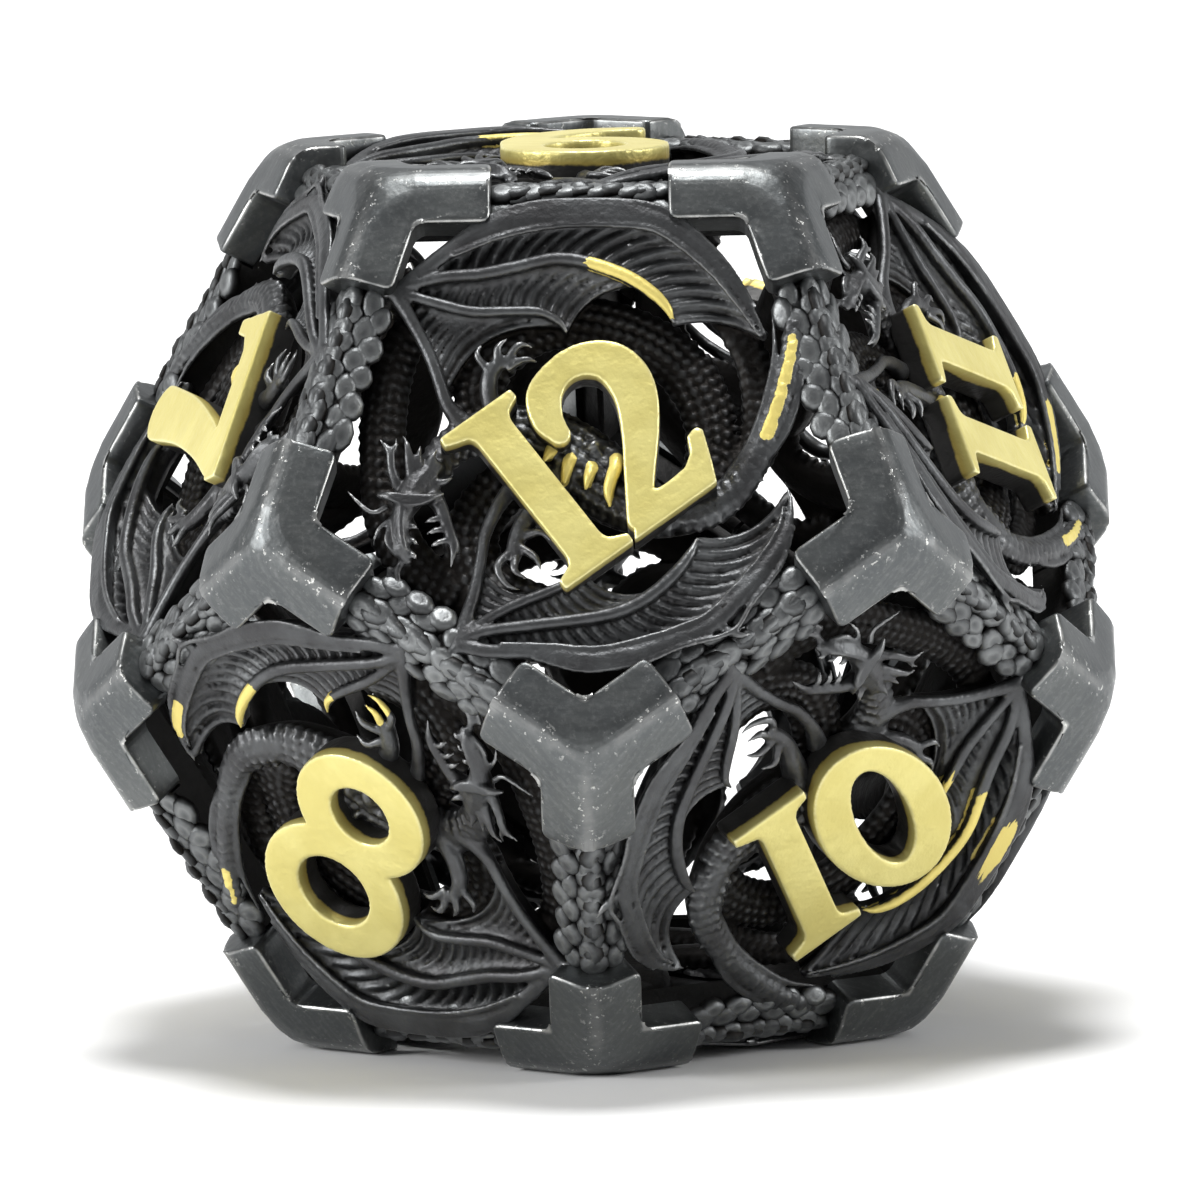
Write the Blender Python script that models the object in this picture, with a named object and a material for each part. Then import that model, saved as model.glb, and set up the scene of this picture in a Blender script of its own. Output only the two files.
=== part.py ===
"""Hollow openwork metal die with twelve pentagonal faces.

A cage of scaled edge bars, made as an upper and a lower frame, carries twenty
folded corner brackets and twelve dragon panels, and each panel carries the
raised digits of its number. The die stands on a face: the origin is the centre
of that face, +Z is up, and the face numbered 12 looks towards -Y.
"""

import math

import bmesh
import bpy
from mathutils import Matrix, Vector
from mathutils.geometry import delaunay_2d_cdt

MM = 0.001

# Die body
ACROSS_FLATS = 22.0 * MM
FIT_GAP = 0.06 * MM         # film between pieces that are fixed to each other
SEAM_GAP = 0.10 * MM        # joint between the upper and the lower frame

# Corner brackets: folded plates whose flanges lie in the face planes
BRACKET_ARM = 2.80 * MM     # along each edge, from the corner
BRACKET_FLANGE = 1.36 * MM  # across each face, from the edge
BRACKET_PLATE = 0.95 * MM
RIDGE_ROUND = 0.30 * MM     # worn rounding along the three folds
RIDGE_STEPS = 2

# Scaled edge bars
BAR_WIDTH = 1.28 * MM       # across each face, from the edge
BAR_RECESS = 0.40 * MM      # below the face planes
HUB_PLATE = 0.75 * MM       # metal left under a bracket

# Dragon panels, drawn in millimetres on a window with this apothem
DRAWN_APOTHEM = 5.40
PANEL_PLATE = 0.80 * MM
PANEL_RIM_DEPTH = 0.50 * MM     # at the wings' leading edges
DISH_CLEARANCE = 0.19 * MM      # deep floor left round the numbers
DISH_SLOPE = 0.45 * MM          # from the deep floor out to the rim

# Raised digits
DIGIT_PLATE = 0.85 * MM
DIGIT_RECESS = 0.05 * MM    # below the face planes, so that the die rests on its brackets
SINGLE_HEIGHT = 6.40 * MM
DOUBLE_HEIGHT = 4.80 * MM
SINGLE_FOOT = 2.50 * MM     # from the window's corner to the foot of a one-digit number
DOUBLE_FOOT = 3.30 * MM
CROSS_FOOT = 2.48 * MM      # from the window's side to the foot of a number that reads to a corner
CROSS_SHIFT = -0.40 * MM    # of that number, to its own right
PAIR_REACH = 0.50           # drawn distance at which two digits would touch
PAIR_GAP = 0.10 * MM
CURVE_STEPS = 16            # points round a digit's loop

# Worked out from the sizes above
GOLDEN = (1 + math.sqrt(5)) / 2
INRADIUS = ACROSS_FLATS / 2
EDGE = ACROSS_FLATS / math.sqrt(2.5 + 1.1 * math.sqrt(5))
FACE_APOTHEM = EDGE / (2 * math.tan(math.radians(36)))
FACE_RADIUS = EDGE / (2 * math.sin(math.radians(36)))
CORNER_RADIUS = EDGE * GOLDEN * math.sqrt(3) / 2
BELT_RADIUS = FACE_RADIUS * GOLDEN
BELT_HEIGHT = math.sqrt(CORNER_RADIUS ** 2 - BELT_RADIUS ** 2)
HUB_DEPTH = BRACKET_PLATE + FIT_GAP
BAR_INNER_DEPTH = HUB_DEPTH + HUB_PLATE
PANEL_APOTHEM = FACE_APOTHEM - max(BRACKET_FLANGE, BAR_WIDTH) - FIT_GAP
DRAW = PANEL_APOTHEM / DRAWN_APOTHEM
PANEL_FLOOR_DEPTH = DIGIT_RECESS + DIGIT_PLATE + FIT_GAP
PAIR_SPACING = DOUBLE_HEIGHT * PAIR_REACH + PAIR_GAP
CENTRE = Vector((0, 0, INRADIUS))

# The corner by the dragon's head is at HEAD_ANGLE. A number's top points at the
# middle of a side, or at a corner.
HEAD_ANGLE = 198
TO_EDGE = 234
TO_CORNER = 126

# Each face: its number, its heading (belt and azimuth), the corner that its
# dragon's head points at (ring and azimuth), and how its number reads.
FACES = (
    (12, "upper", -90, (3, -126), TO_CORNER),
    (11, "upper", -18, (4, -54), TO_EDGE),
    (5, "upper", 54, (3, 90), TO_EDGE),
    (3, "upper", 126, (4, 90), TO_EDGE),
    (7, "upper", -162, (3, -126), TO_EDGE),
    (10, "lower", -54, (3, -54), TO_EDGE),
    (6, "lower", 18, (1, 54), TO_EDGE),
    (1, "lower", 90, (3, 90), TO_EDGE),
    (2, "lower", 162, (2, 126), TO_EDGE),
    (8, "lower", -126, (2, -90), TO_EDGE),
    (9, "top", 0, (4, -126), TO_EDGE),
    (4, "bottom", 0, (1, 54), TO_EDGE),
)

# The dragon, as tapering strokes (x, y, half width) and plain outlines (x, y).
# A wing's skin hangs from the middle of its leading edge down to its trailing edge.
WING_A_EDGE = ((-4.15, 4.05, 0.20), (-2.9, 4.70, 0.28), (-1.3, 4.98, 0.34), (0.4, 5.02, 0.36),
               (1.9, 4.80, 0.34), (3.1, 4.25, 0.28), (4.05, 3.4, 0.22), (4.62, 2.4, 0.12))
WING_A_TRAIL = ((4.45, 2.45), (3.5, 3.15), (2.25, 2.85), (1.2, 3.55), (0.3, 3.5), (-0.7, 2.95),
                (-2.0, 3.1), (-3.5, 2.6), (-4.0, 3.6))
WING_A_ARM = ((-4.0, 3.9, 0.28), (-3.65, 2.7, 0.30), (-3.2, 1.6, 0.34), (-2.1, 0.5, 0.42))
WING_B_EDGE = ((-2.62, -4.35, 0.26), (-1.4, -4.95, 0.3), (0.0, -5.35, 0.34), (1.3, -5.0, 0.34),
               (2.6, -4.2, 0.32), (3.8, -3.3, 0.28), (4.75, -2.3, 0.20), (5.05, -1.2, 0.10))
WING_B_TRAIL = ((4.85, -1.7), (3.9, -2.35), (2.75, -2.55), (1.9, -3.2), (0.9, -3.35), (-0.2, -3.2),
                (-1.1, -3.5), (-2.0, -3.1), (-2.6, -3.6))
WING_B_ARM = ((-2.6, -4.2, 0.26), (-2.62, -2.9, 0.28), (-2.2, -1.6, 0.34), (-1.4, 0.1, 0.42))
BODY = ((-4.0, -0.8, 0.45), (-3.1, 0.2, 0.42), (-1.9, 0.5, 0.6), (-0.6, 0.1, 0.8), (0.5, -0.9, 0.75),
        (1.6, -1.65, 0.55), (2.7, -1.6, 0.42), (3.7, -1.0, 0.34), (4.4, 0.0, 0.28), (4.72, 1.2, 0.22),
        (4.55, 2.75, 0.12))
SKULL = ((-5.0, -0.9), (-4.5, -0.3), (-3.6, -0.1), (-3.2, -0.9), (-3.45, -2.3), (-3.95, -1.8),
         (-4.35, -2.95), (-4.75, -2.2))
WHISKER = ((-4.7, -1.1, 0.2), (-5.8, -0.75, 0.12))
FORELEG = ((-1.4, 0.3, 0.36), (-1.5, 1.5, 0.28), (-0.9, 2.3, 0.16))
HIND_LEG = ((0.0, -0.7, 0.4), (-0.9, -1.9, 0.3), (-1.5, -3.3, 0.24))
STROKES = (WING_A_EDGE, WING_A_ARM, WING_B_EDGE, WING_B_ARM, BODY, WHISKER, FORELEG, HIND_LEG)
WINGS = ((WING_A_EDGE, WING_A_TRAIL), (WING_B_EDGE, WING_B_TRAIL))

GUNMETAL_DARK = (0.045, 0.048, 0.052, 1.0)
GUNMETAL_SATIN = (0.105, 0.110, 0.113, 1.0)
GUNMETAL_SCALE = (0.070, 0.074, 0.078, 1.0)
PALE_GOLD = (0.68, 0.59, 0.22, 1.0)


# ---------------------------------------------------------------- scene set-up

def clear_scene():
    for old in list(bpy.data.objects):
        bpy.data.objects.remove(old, do_unlink=True)


def metal(name, colour, roughness):
    finish = bpy.data.materials.new(name)
    finish.use_nodes = True
    shader = finish.node_tree.nodes["Principled BSDF"]
    shader.inputs["Base Color"].default_value = colour
    shader.inputs["Metallic"].default_value = 1.0
    shader.inputs["Roughness"].default_value = roughness
    finish.diffuse_color = colour
    return finish


def add_object(name, mesh, place, parent):
    """Link one named piece, placed by its location and rotation."""
    piece = bpy.data.objects.new(name, mesh)
    bpy.context.scene.collection.objects.link(piece)
    piece.parent = parent
    piece.matrix_basis = place
    return piece


# ---------------------------------------------------- the regular dodecahedron

def corner(ring, azimuth):
    """One of the twenty corners: rings 1 to 4 go up, seen from the die's centre."""
    radius = FACE_RADIUS if ring in (1, 4) else BELT_RADIUS
    height = {1: -INRADIUS, 2: -BELT_HEIGHT, 3: BELT_HEIGHT, 4: INRADIUS}[ring]
    turn = math.radians(azimuth)
    return Vector((radius * math.cos(turn), radius * math.sin(turn), height))


def ring_azimuths(ring):
    first = -90 if ring in (1, 2) else -126
    return [first + 72 * step for step in range(5)]


def all_corners():
    return [(ring, corner(ring, azimuth)) for ring in (1, 2, 3, 4) for azimuth in ring_azimuths(ring)]


def face_normal(belt, azimuth):
    """Outward direction of a face. The slanted faces tilt by the die's own angle."""
    if belt == "top":
        return Vector((0, 0, 1))
    if belt == "bottom":
        return Vector((0, 0, -1))
    rise = 1 / math.sqrt(5) if belt == "upper" else -1 / math.sqrt(5)
    run = 2 / math.sqrt(5)
    turn = math.radians(azimuth)
    return Vector((run * math.cos(turn), run * math.sin(turn), rise))


def axes_matrix(x_axis, z_axis, origin):
    """Placement whose X and Z axes point the given ways."""
    turn = Matrix((x_axis, z_axis.cross(x_axis), z_axis)).transposed().to_4x4()
    return Matrix.Translation(origin) @ turn


def panel_place(normal, head):
    """Placement of a face's own frame: Z outward, head corner at HEAD_ANGLE."""
    towards = (head - normal * head.dot(normal)).normalized()
    x_axis = Matrix.Rotation(math.radians(-HEAD_ANGLE), 3, normal) @ towards
    return axes_matrix(x_axis, normal, CENTRE + normal * INRADIUS)


def corner_place(point, corners):
    """Placement of a corner's own frame: Z outward, X over its first edge."""
    z_axis = point.normalized()
    nearest = min((other for _, other in corners if (other - point).length > EDGE / 2),
                  key=lambda other: round((other - point).length, 6))
    along = nearest - point
    x_axis = (along - z_axis * along.dot(z_axis)).normalized()
    return axes_matrix(x_axis, z_axis, CENTRE)


# --------------------------------------- a corner's three edges and three faces

class CornerFrame:
    """Directions at one corner, in the corner's own frame: Z outward, first edge over +X."""

    def __init__(self):
        self.tip = Vector((0, 0, CORNER_RADIUS))
        dip = EDGE / (2 * CORNER_RADIUS)
        run = math.sqrt(1 - dip ** 2)
        turns = [math.radians(120 * arm) for arm in range(3)]
        self.edges = [Vector((run * math.cos(t), run * math.sin(t), -dip)) for t in turns]
        self.normals = [self.edges[a].cross(self.edges[(a + 1) % 3]).normalized() for a in range(3)]
        self.ridges = [(self.normals[a - 1] + self.normals[a]).normalized() for a in range(3)]
        self.ridge_drop = 1 / self.normals[0].dot(self.ridges[0])

    def apex(self, depth):
        return self.tip * (1 - depth / INRADIUS)

    def on_ridge(self, arm, along, depth):
        return self.tip + self.edges[arm] * along - self.ridges[arm] * (depth * self.ridge_drop)

    def on_flank(self, face, arm, along, width, depth):
        """A point on a face, a width in from one of its two edges."""
        inward = self.normals[face].cross(self.edges[arm])
        if arm != face:
            inward = -inward
        return self.tip + self.edges[arm] * along + inward * width - self.normals[face] * depth

    def inner_corner(self, face, width, depth):
        reach = width / math.sin(math.radians(108))
        spread = (self.edges[face] + self.edges[(face + 1) % 3]) * reach
        return self.tip + spread - self.normals[face] * depth


def sides(face):
    """The two edges that bound a face at a corner, and whether each winds forwards."""
    return ((face, True), ((face + 1) % 3, False))


class Skin:
    """Collects faces by their corner points and welds equal points."""

    def __init__(self):
        self.bm = bmesh.new()

    def patch(self, points, forwards=True):
        if not forwards:
            points = list(reversed(points))
        self.bm.faces.new([self.bm.verts.new(point) for point in points])

    def weld(self):
        bmesh.ops.remove_doubles(self.bm, verts=self.bm.verts, dist=FIT_GAP / 100)
        bmesh.ops.recalc_face_normals(self.bm, faces=self.bm.faces)

    def to_mesh(self, name):
        mesh = bpy.data.meshes.new(name)
        self.bm.to_mesh(mesh)
        self.bm.free()
        return mesh


# -------------------------------------------------------------- corner bracket

def bracket_mesh(finish):
    """A plate folded over one corner, with three chevron flanges."""
    frame = CornerFrame()
    skin = Skin()
    for face in range(3):
        for arm, forwards in sides(face):
            rim = {}
            for depth in (0, BRACKET_PLATE):
                rim[depth] = (frame.apex(depth),
                              frame.on_ridge(arm, BRACKET_ARM, depth),
                              frame.on_flank(face, arm, BRACKET_ARM, BRACKET_FLANGE, depth),
                              frame.inner_corner(face, BRACKET_FLANGE, depth))
            outer, inner = rim[0], rim[BRACKET_PLATE]
            skin.patch(outer, forwards)
            skin.patch(inner, not forwards)
            skin.patch((outer[1], inner[1], inner[2], outer[2]), forwards)
            skin.patch((outer[2], inner[2], inner[3], outer[3]), forwards)
    skin.weld()
    round_ridges(skin.bm)
    mesh = skin.to_mesh("corner_bracket")
    mesh.materials.append(finish)
    mesh.shade_smooth()
    mesh.set_sharp_from_angle(angle=math.radians(40))
    return mesh


def round_ridges(bm):
    """Round the three outer folds, which meet at the corner's tip."""
    bm.verts.ensure_lookup_table()
    tip = max(bm.verts, key=lambda vert: vert.co.z)
    width = min(RIDGE_ROUND, BRACKET_PLATE / 2)
    bmesh.ops.bevel(bm, geom=list(tip.link_edges), offset=width, offset_type="OFFSET",
                    segments=RIDGE_STEPS, profile=0.5, affect="EDGES")


# ------------------------------------------------------------- upper and lower

def add_tripod(skin, place, free_arms):
    """The metal round one corner, out to the middle of its three edge bars.

    A free arm ends at the seam between the two frames and is closed there.
    """
    frame = CornerFrame()
    step = BRACKET_ARM + FIT_GAP
    for face in range(3):
        for arm, forwards in sides(face):
            end = EDGE / 2 - (SEAM_GAP / 2 if arm in free_arms else 0)
            ridge = {key: place @ frame.on_ridge(arm, along, depth) for key, along, depth in (
                ("low", step, HUB_DEPTH), ("high", step, BAR_RECESS),
                ("end", end, BAR_RECESS), ("under", end, BAR_INNER_DEPTH))}
            flank = {key: place @ frame.on_flank(face, arm, along, BAR_WIDTH, depth)
                     for key, along, depth in (
                ("low", step, HUB_DEPTH), ("high", step, BAR_RECESS), ("foot", step, BAR_INNER_DEPTH),
                ("end", end, BAR_RECESS), ("under", end, BAR_INNER_DEPTH))}
            hub_top, hub_under = (place @ frame.apex(depth) for depth in (HUB_DEPTH, BAR_INNER_DEPTH))
            nook_top, nook_under = (place @ frame.inner_corner(face, BAR_WIDTH, depth)
                                    for depth in (HUB_DEPTH, BAR_INNER_DEPTH))
            skin.patch((hub_top, ridge["low"], flank["low"], nook_top), forwards)
            skin.patch((ridge["low"], ridge["high"], flank["high"], flank["low"]), forwards)
            skin.patch((ridge["high"], ridge["end"], flank["end"], flank["high"]), forwards)
            skin.patch((nook_top, flank["low"], flank["foot"], nook_under), forwards)
            skin.patch((flank["low"], flank["high"], flank["end"], flank["under"], flank["foot"]), forwards)
            skin.patch((hub_under, nook_under, flank["foot"], flank["under"], ridge["under"]), forwards)
            if arm in free_arms:
                skin.patch((ridge["end"], ridge["under"], flank["under"], flank["end"]), forwards)


def free_arms_of(place, ring):
    """Which of a corner's arms run across the seam, for a corner on a belt ring."""
    if ring in (1, 4):
        return ()
    frame = CornerFrame()
    middles = [place @ frame.on_ridge(arm, EDGE / 2, 0) for arm in range(3)]
    return tuple(arm for arm, middle in enumerate(middles) if abs(middle.z - CENTRE.z) < EDGE / 100)


def frame_mesh(name, rings, finish):
    """One half of the cage: ten tripods welded at the middles of their bars."""
    corners = all_corners()
    skin = Skin()
    for ring, point in corners:
        if ring in rings:
            place = corner_place(point, corners)
            add_tripod(skin, place, free_arms_of(place, ring))
    skin.weld()
    mesh = skin.to_mesh(name)
    mesh.materials.append(finish)
    return mesh


# ---------------------------------------------- flat shapes made into relief

def ribbon(points):
    """Outline of a tapering stroke through (x, y, half width) points."""
    left, right = [], []
    for index, (x, y, half) in enumerate(points):
        before = points[max(index - 1, 0)]
        after = points[min(index + 1, len(points) - 1)]
        along = Vector((after[0] - before[0], after[1] - before[1])).normalized()
        across = Vector((-along.y, along.x)) * half
        left.append(Vector((x, y)) + across)
        right.append(Vector((x, y)) - across)
    return left[::-1] + right


def ellipse(centre, half_width, half_height, lean=0.0, steps=CURVE_STEPS):
    """Points round an ellipse whose upright axis leans over by a slope."""
    points = []
    for step in range(steps):
        turn = 2 * math.pi * step / steps
        y = half_height * math.sin(turn)
        points.append(Vector((centre[0] + half_width * math.cos(turn) + lean * y, centre[1] + y)))
    return points


def anticlockwise(outline):
    """The outline's points, turned round if they run clockwise."""
    points = [Vector(point) for point in outline]
    twice_area = sum(a.x * b.y - b.x * a.y for a, b in zip(points, points[1:] + points[:1]))
    return points if twice_area > 0 else points[::-1]


def flat_region(filled, holes=()):
    """Triangles (points, faces) of the union of some outlines, less the holes."""
    points, rings = [], []
    for outline in (*filled, *holes):
        rings.append(list(range(len(points), len(points) + len(outline))))
        points.extend(anticlockwise(outline))
    merged, _, faces, _, _, owners = delaunay_2d_cdt(points, [], rings, 0, 1e-4, True)
    solid = []
    for face, owner in zip(faces, owners):
        inside_hole = any(index >= len(filled) for index in owner)
        if owner and not inside_hole:
            solid.append(face)
    return merged, solid


def relief_mesh(name, region, scale, top, thickness, finish):
    """Thicken a flat region, whose upper side follows top(x, y)."""
    points, faces = region
    bm = bmesh.new()
    used = sorted({index for face in faces for index in face})
    uppers = {}
    for index in used:
        x, y = points[index]
        uppers[index] = bm.verts.new((x * scale, y * scale, top(x, y)))
    for face in faces:
        bm.faces.new([uppers[index] for index in face])
    bmesh.ops.recalc_face_normals(bm, faces=bm.faces)
    if sum(face.normal.z for face in bm.faces) < 0:
        bmesh.ops.reverse_faces(bm, faces=bm.faces)
    raised = bmesh.ops.extrude_face_region(bm, geom=list(bm.faces), use_keep_orig=True)
    lowered = [item for item in raised["geom"] if isinstance(item, bmesh.types.BMVert)]
    bmesh.ops.translate(bm, verts=lowered, vec=(0, 0, -thickness))
    bmesh.ops.recalc_face_normals(bm, faces=bm.faces)
    mesh = bpy.data.meshes.new(name)
    bm.to_mesh(mesh)
    bm.free()
    mesh.materials.append(finish)
    return mesh


# ---------------------------------------------------------------- dragon panel

def dragon_mesh(finish):
    """The dragon: deep under the numbers, shallow at the wings' leading edges."""
    outlines = [ribbon(stroke) for stroke in STROKES] + [SKULL]
    for edge, trail in WINGS:
        outlines.append([(x, y) for x, y, _ in edge] + list(trail))
    floor_radius = number_reach() + DISH_CLEARANCE

    def dish(x, y):
        share = min(max((math.hypot(x, y) * DRAW - floor_radius) / DISH_SLOPE, 0.0), 1.0)
        return -(PANEL_FLOOR_DEPTH + (PANEL_RIM_DEPTH - PANEL_FLOOR_DEPTH) * share)

    return relief_mesh("dragon_panel", flat_region(outlines), DRAW, dish, PANEL_PLATE, finish)


# --------------------------------------------------------------- raised digits

# Digits are drawn one unit high, on a baseline at y = -0.5, centred on x = 0.
STEM = 0.100            # half width of an upright stroke
SERIF = 0.20            # half width of a foot


def arc(centre, radii, start, stop, halves, steps=CURVE_STEPS):
    """Stroke points along an elliptical arc, its half width easing between the values given."""
    points = []
    for step in range(steps + 1):
        share = step / steps
        turn = math.radians(start + (stop - start) * share)
        place = share * (len(halves) - 1)
        low = min(int(place), len(halves) - 2)
        half = halves[low] + (halves[low + 1] - halves[low]) * (place - low)
        points.append((centre[0] + radii[0] * math.cos(turn), centre[1] + radii[1] * math.sin(turn), half))
    return points


def foot(x, y, rise, left=SERIF):
    """A bracketed serif across the end of an upright stroke, pointing up or down from y."""
    return [(x - left, y), (x + SERIF, y), (x + SERIF, y + rise * 0.5),
            (x + STEM * 0.96, y + rise * 1.6), (x - STEM * 0.96, y + rise * 1.6), (x - left, y + rise * 0.5)]


def loop(centre, half_width, half_height, wall, lean=0.0):
    """A ring: its outline and its hole."""
    outer = ellipse(centre, half_width, half_height, lean)
    hole = ellipse(centre, half_width - wall * 1.25, half_height - wall, lean)
    return outer, hole


def digit_shape(digit):
    """Filled outlines and holes of one serif digit."""
    if digit == 0:
        return [ellipse((0, 0), 0.335, 0.5)], [ellipse((0, 0), 0.125, 0.33, lean=0.28)]
    if digit == 1:
        stem = [(-STEM, -0.46), (STEM, -0.46), (STEM, 0.46), (-STEM, 0.46)]
        return [stem, foot(0, 0.5, -0.08, left=0.235), foot(0, -0.5, 0.08)], []
    if digit == 2:
        bowl = arc((-0.02, 0.20), (0.19, 0.215), 215, -20, (0.04, 0.085, 0.085, 0.1))
        neck = [(0.17, 0.2, 0.1), (0.15, 0.06, 0.1), (0.04, -0.14, 0.085), (-0.18, -0.44, 0.07)]
        base = [(-0.28, -0.5), (0.26, -0.5), (0.3, -0.17), (0.22, -0.17), (0.14, -0.33), (-0.2, -0.33)]
        return [ribbon(bowl), ribbon(neck), base], []
    if digit == 3:
        top = arc((-0.02, 0.25), (0.22, 0.18), 165, -90, (0.07, 0.07, 0.1, 0.06))
        bottom = arc((-0.04, -0.2), (0.27, 0.22), 90, -165, (0.06, 0.11, 0.1, 0.075))
        return [ribbon(top), ribbon(bottom)], []
    if digit == 4:
        stem = [(0.02, -0.45), (0.23, -0.45), (0.23, 0.5), (0.06, 0.5), (0.02, 0.42)]
        slope = [(0.09, 0.45, 0.07), (-0.28, -0.12, 0.055)]
        bar = [(-0.36, -0.26), (0.36, -0.26), (0.36, -0.12), (-0.36, -0.12)]
        return [stem, ribbon(slope), bar, foot(0.125, -0.5, 0.07)], []
    if digit == 5:
        flag = [(-0.24, 0.5), (0.22, 0.5), (0.3, 0.56), (0.27, 0.36), (-0.22, 0.36)]
        stem = [(-0.23, 0.46), (-0.12, 0.46), (-0.16, 0.02), (-0.26, -0.02)]
        bowl = arc((-0.04, -0.18), (0.26, 0.23), 130, -160, (0.06, 0.09, 0.11, 0.075))
        return [flag, stem, ribbon(bowl)], []
    if digit == 6:
        outer, hole = loop((0, -0.19), 0.32, 0.31, 0.14)
        tail = [(-0.23, -0.15, 0.09), (-0.2, 0.12, 0.09), (-0.07, 0.33, 0.08), (0.16, 0.46, 0.05)]
        return [outer, ribbon(tail)], [hole]
    if digit == 7:
        bar = [(-0.34, 0.5), (0.34, 0.5), (0.34, 0.42), (0.22, 0.34), (-0.24, 0.34), (-0.29, 0.24),
               (-0.36, 0.24)]
        stem = [(0.26, 0.44, 0.08), (0.03, 0.0, 0.1), (-0.12, -0.5, 0.12)]
        return [bar, ribbon(stem)], []
    if digit == 8:
        upper, upper_hole = loop((0, 0.245), 0.27, 0.255, 0.115)
        lower, lower_hole = loop((0, -0.205), 0.315, 0.295, 0.13)
        return [upper, lower], [upper_hole, lower_hole]
    outer, hole = loop((0, 0.19), 0.32, 0.31, 0.14)
    tail = [(0.23, 0.15, 0.09), (0.2, -0.12, 0.09), (0.07, -0.33, 0.08), (-0.16, -0.46, 0.05)]
    return [outer, ribbon(tail)], [hole]


def placed_digit(digit, height, offset, foot, reading):
    """Filled outlines and holes of one digit, at its place across the number on its face."""
    turn = Matrix.Rotation(math.radians(reading - 90), 2)
    if reading == TO_CORNER:
        right, foot_reach = CROSS_SHIFT, PANEL_APOTHEM - CROSS_FOOT
    else:
        right, foot_reach = 0.0, PANEL_APOTHEM / math.cos(math.radians(36)) - foot
    shift = Vector((right + offset, height / 2 - foot_reach))

    def placed(outline):
        return [turn @ (Vector(point) * height + shift) for point in outline]

    filled, holes = digit_shape(digit)
    return [placed(outline) for outline in filled], [placed(hole) for hole in holes]


def number_reach():
    """How far the furthest digit reaches from the middle of its face."""
    reach = 0.0
    for number, *_, reading in FACES:
        for digit in digits_of(number):
            filled, _ = placed_digit(*digit, reading)
            reach = max(reach, *(point.length for outline in filled for point in outline))
    return reach


def digit_mesh(name, region, finish):
    """One raised digit in its face's own frame."""
    return relief_mesh(name, region, 1.0, lambda x, y: -DIGIT_RECESS, DIGIT_PLATE, finish)


def digits_of(number):
    """(digit, height, sideways offset, foot to window's corner) for each digit of a number."""
    if number < 10:
        return [(number, SINGLE_HEIGHT, 0.0, SINGLE_FOOT)]
    return [
        (digit, DOUBLE_HEIGHT, side * PAIR_SPACING / 2, DOUBLE_FOOT)
        for digit, side in zip(divmod(number, 10), (-1, 1))
    ]


# --------------------------------------------------------------------- the die

def build():
    clear_scene()
    root = bpy.data.objects.new("die", None)
    bpy.context.scene.collection.objects.link(root)

    scaled = metal("scaled_gunmetal", GUNMETAL_SCALE, 0.5)
    satin = metal("satin_gunmetal", GUNMETAL_SATIN, 0.42)
    dark = metal("dark_gunmetal", GUNMETAL_DARK, 0.55)
    gold = metal("pale_gold", PALE_GOLD, 0.45)

    add_object("upper_frame", frame_mesh("upper_frame", (3, 4), scaled), Matrix(), root)
    add_object("lower_frame", frame_mesh("lower_frame", (1, 2), scaled), Matrix(), root)

    corners = all_corners()
    bracket = bracket_mesh(satin)
    for count, (_, point) in enumerate(corners, start=1):
        add_object(f"corner_bracket_{count:02d}", bracket, corner_place(point, corners), root)

    dragon = dragon_mesh(dark)
    for number, belt, azimuth, head, reading in FACES:
        place = panel_place(face_normal(belt, azimuth), corner(*head))
        add_object(f"dragon_panel_{number:02d}", dragon, place, root)
        for order, digit in enumerate(digits_of(number)):
            name = f"digit_{number:02d}" + ("ab"[order] if number > 9 else "")
            region = flat_region(*placed_digit(*digit, reading))
            add_object(name, digit_mesh(name, region, gold), place, root)


build()
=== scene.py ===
"""Finished look of a hollow cast-metal die with twelve pentagonal faces.

The die is a cage of edge bars covered in small scales. Twenty folded corner
brackets sit on it. Each face holds a pierced winged dragon in relief and the
raised gold digits of its number. Shapes are built in millimetres in the frame
of their own corner, edge or face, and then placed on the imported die.
"""

import logging
import math
from collections.abc import Callable, Iterator, Sequence
from dataclasses import dataclass, field
from enum import Enum

import bmesh
import bpy
import numpy as np
from mathutils import Matrix, Vector, noise


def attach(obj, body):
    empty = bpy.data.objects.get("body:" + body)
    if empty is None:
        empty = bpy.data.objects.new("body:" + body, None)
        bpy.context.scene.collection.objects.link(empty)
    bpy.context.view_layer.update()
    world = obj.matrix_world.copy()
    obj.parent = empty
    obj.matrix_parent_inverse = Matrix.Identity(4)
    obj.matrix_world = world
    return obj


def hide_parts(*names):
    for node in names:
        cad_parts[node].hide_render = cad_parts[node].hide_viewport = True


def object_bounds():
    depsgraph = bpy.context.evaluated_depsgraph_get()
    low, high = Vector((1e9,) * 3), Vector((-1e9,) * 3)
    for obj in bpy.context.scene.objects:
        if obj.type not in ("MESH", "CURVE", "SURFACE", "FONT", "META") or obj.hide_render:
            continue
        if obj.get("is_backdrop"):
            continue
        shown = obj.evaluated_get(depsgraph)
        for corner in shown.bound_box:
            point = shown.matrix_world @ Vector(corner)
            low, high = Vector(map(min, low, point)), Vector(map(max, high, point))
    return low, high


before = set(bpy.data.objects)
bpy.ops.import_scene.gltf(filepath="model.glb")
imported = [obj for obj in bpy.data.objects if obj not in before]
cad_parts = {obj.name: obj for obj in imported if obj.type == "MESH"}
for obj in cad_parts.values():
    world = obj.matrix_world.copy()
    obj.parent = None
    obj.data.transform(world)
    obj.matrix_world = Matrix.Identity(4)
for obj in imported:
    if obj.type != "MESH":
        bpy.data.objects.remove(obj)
CAD_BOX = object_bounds()

log = logging.getLogger("die")

MM = 0.001
UP = Vector((0.0, 0.0, 1.0))
Point = tuple[float, float]
Knot = tuple[float, float, float, float]  # x, y, height and half width of a stroke
Colour = tuple[float, float, float]


# ------------------------------------------------------------------ node trees


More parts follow.
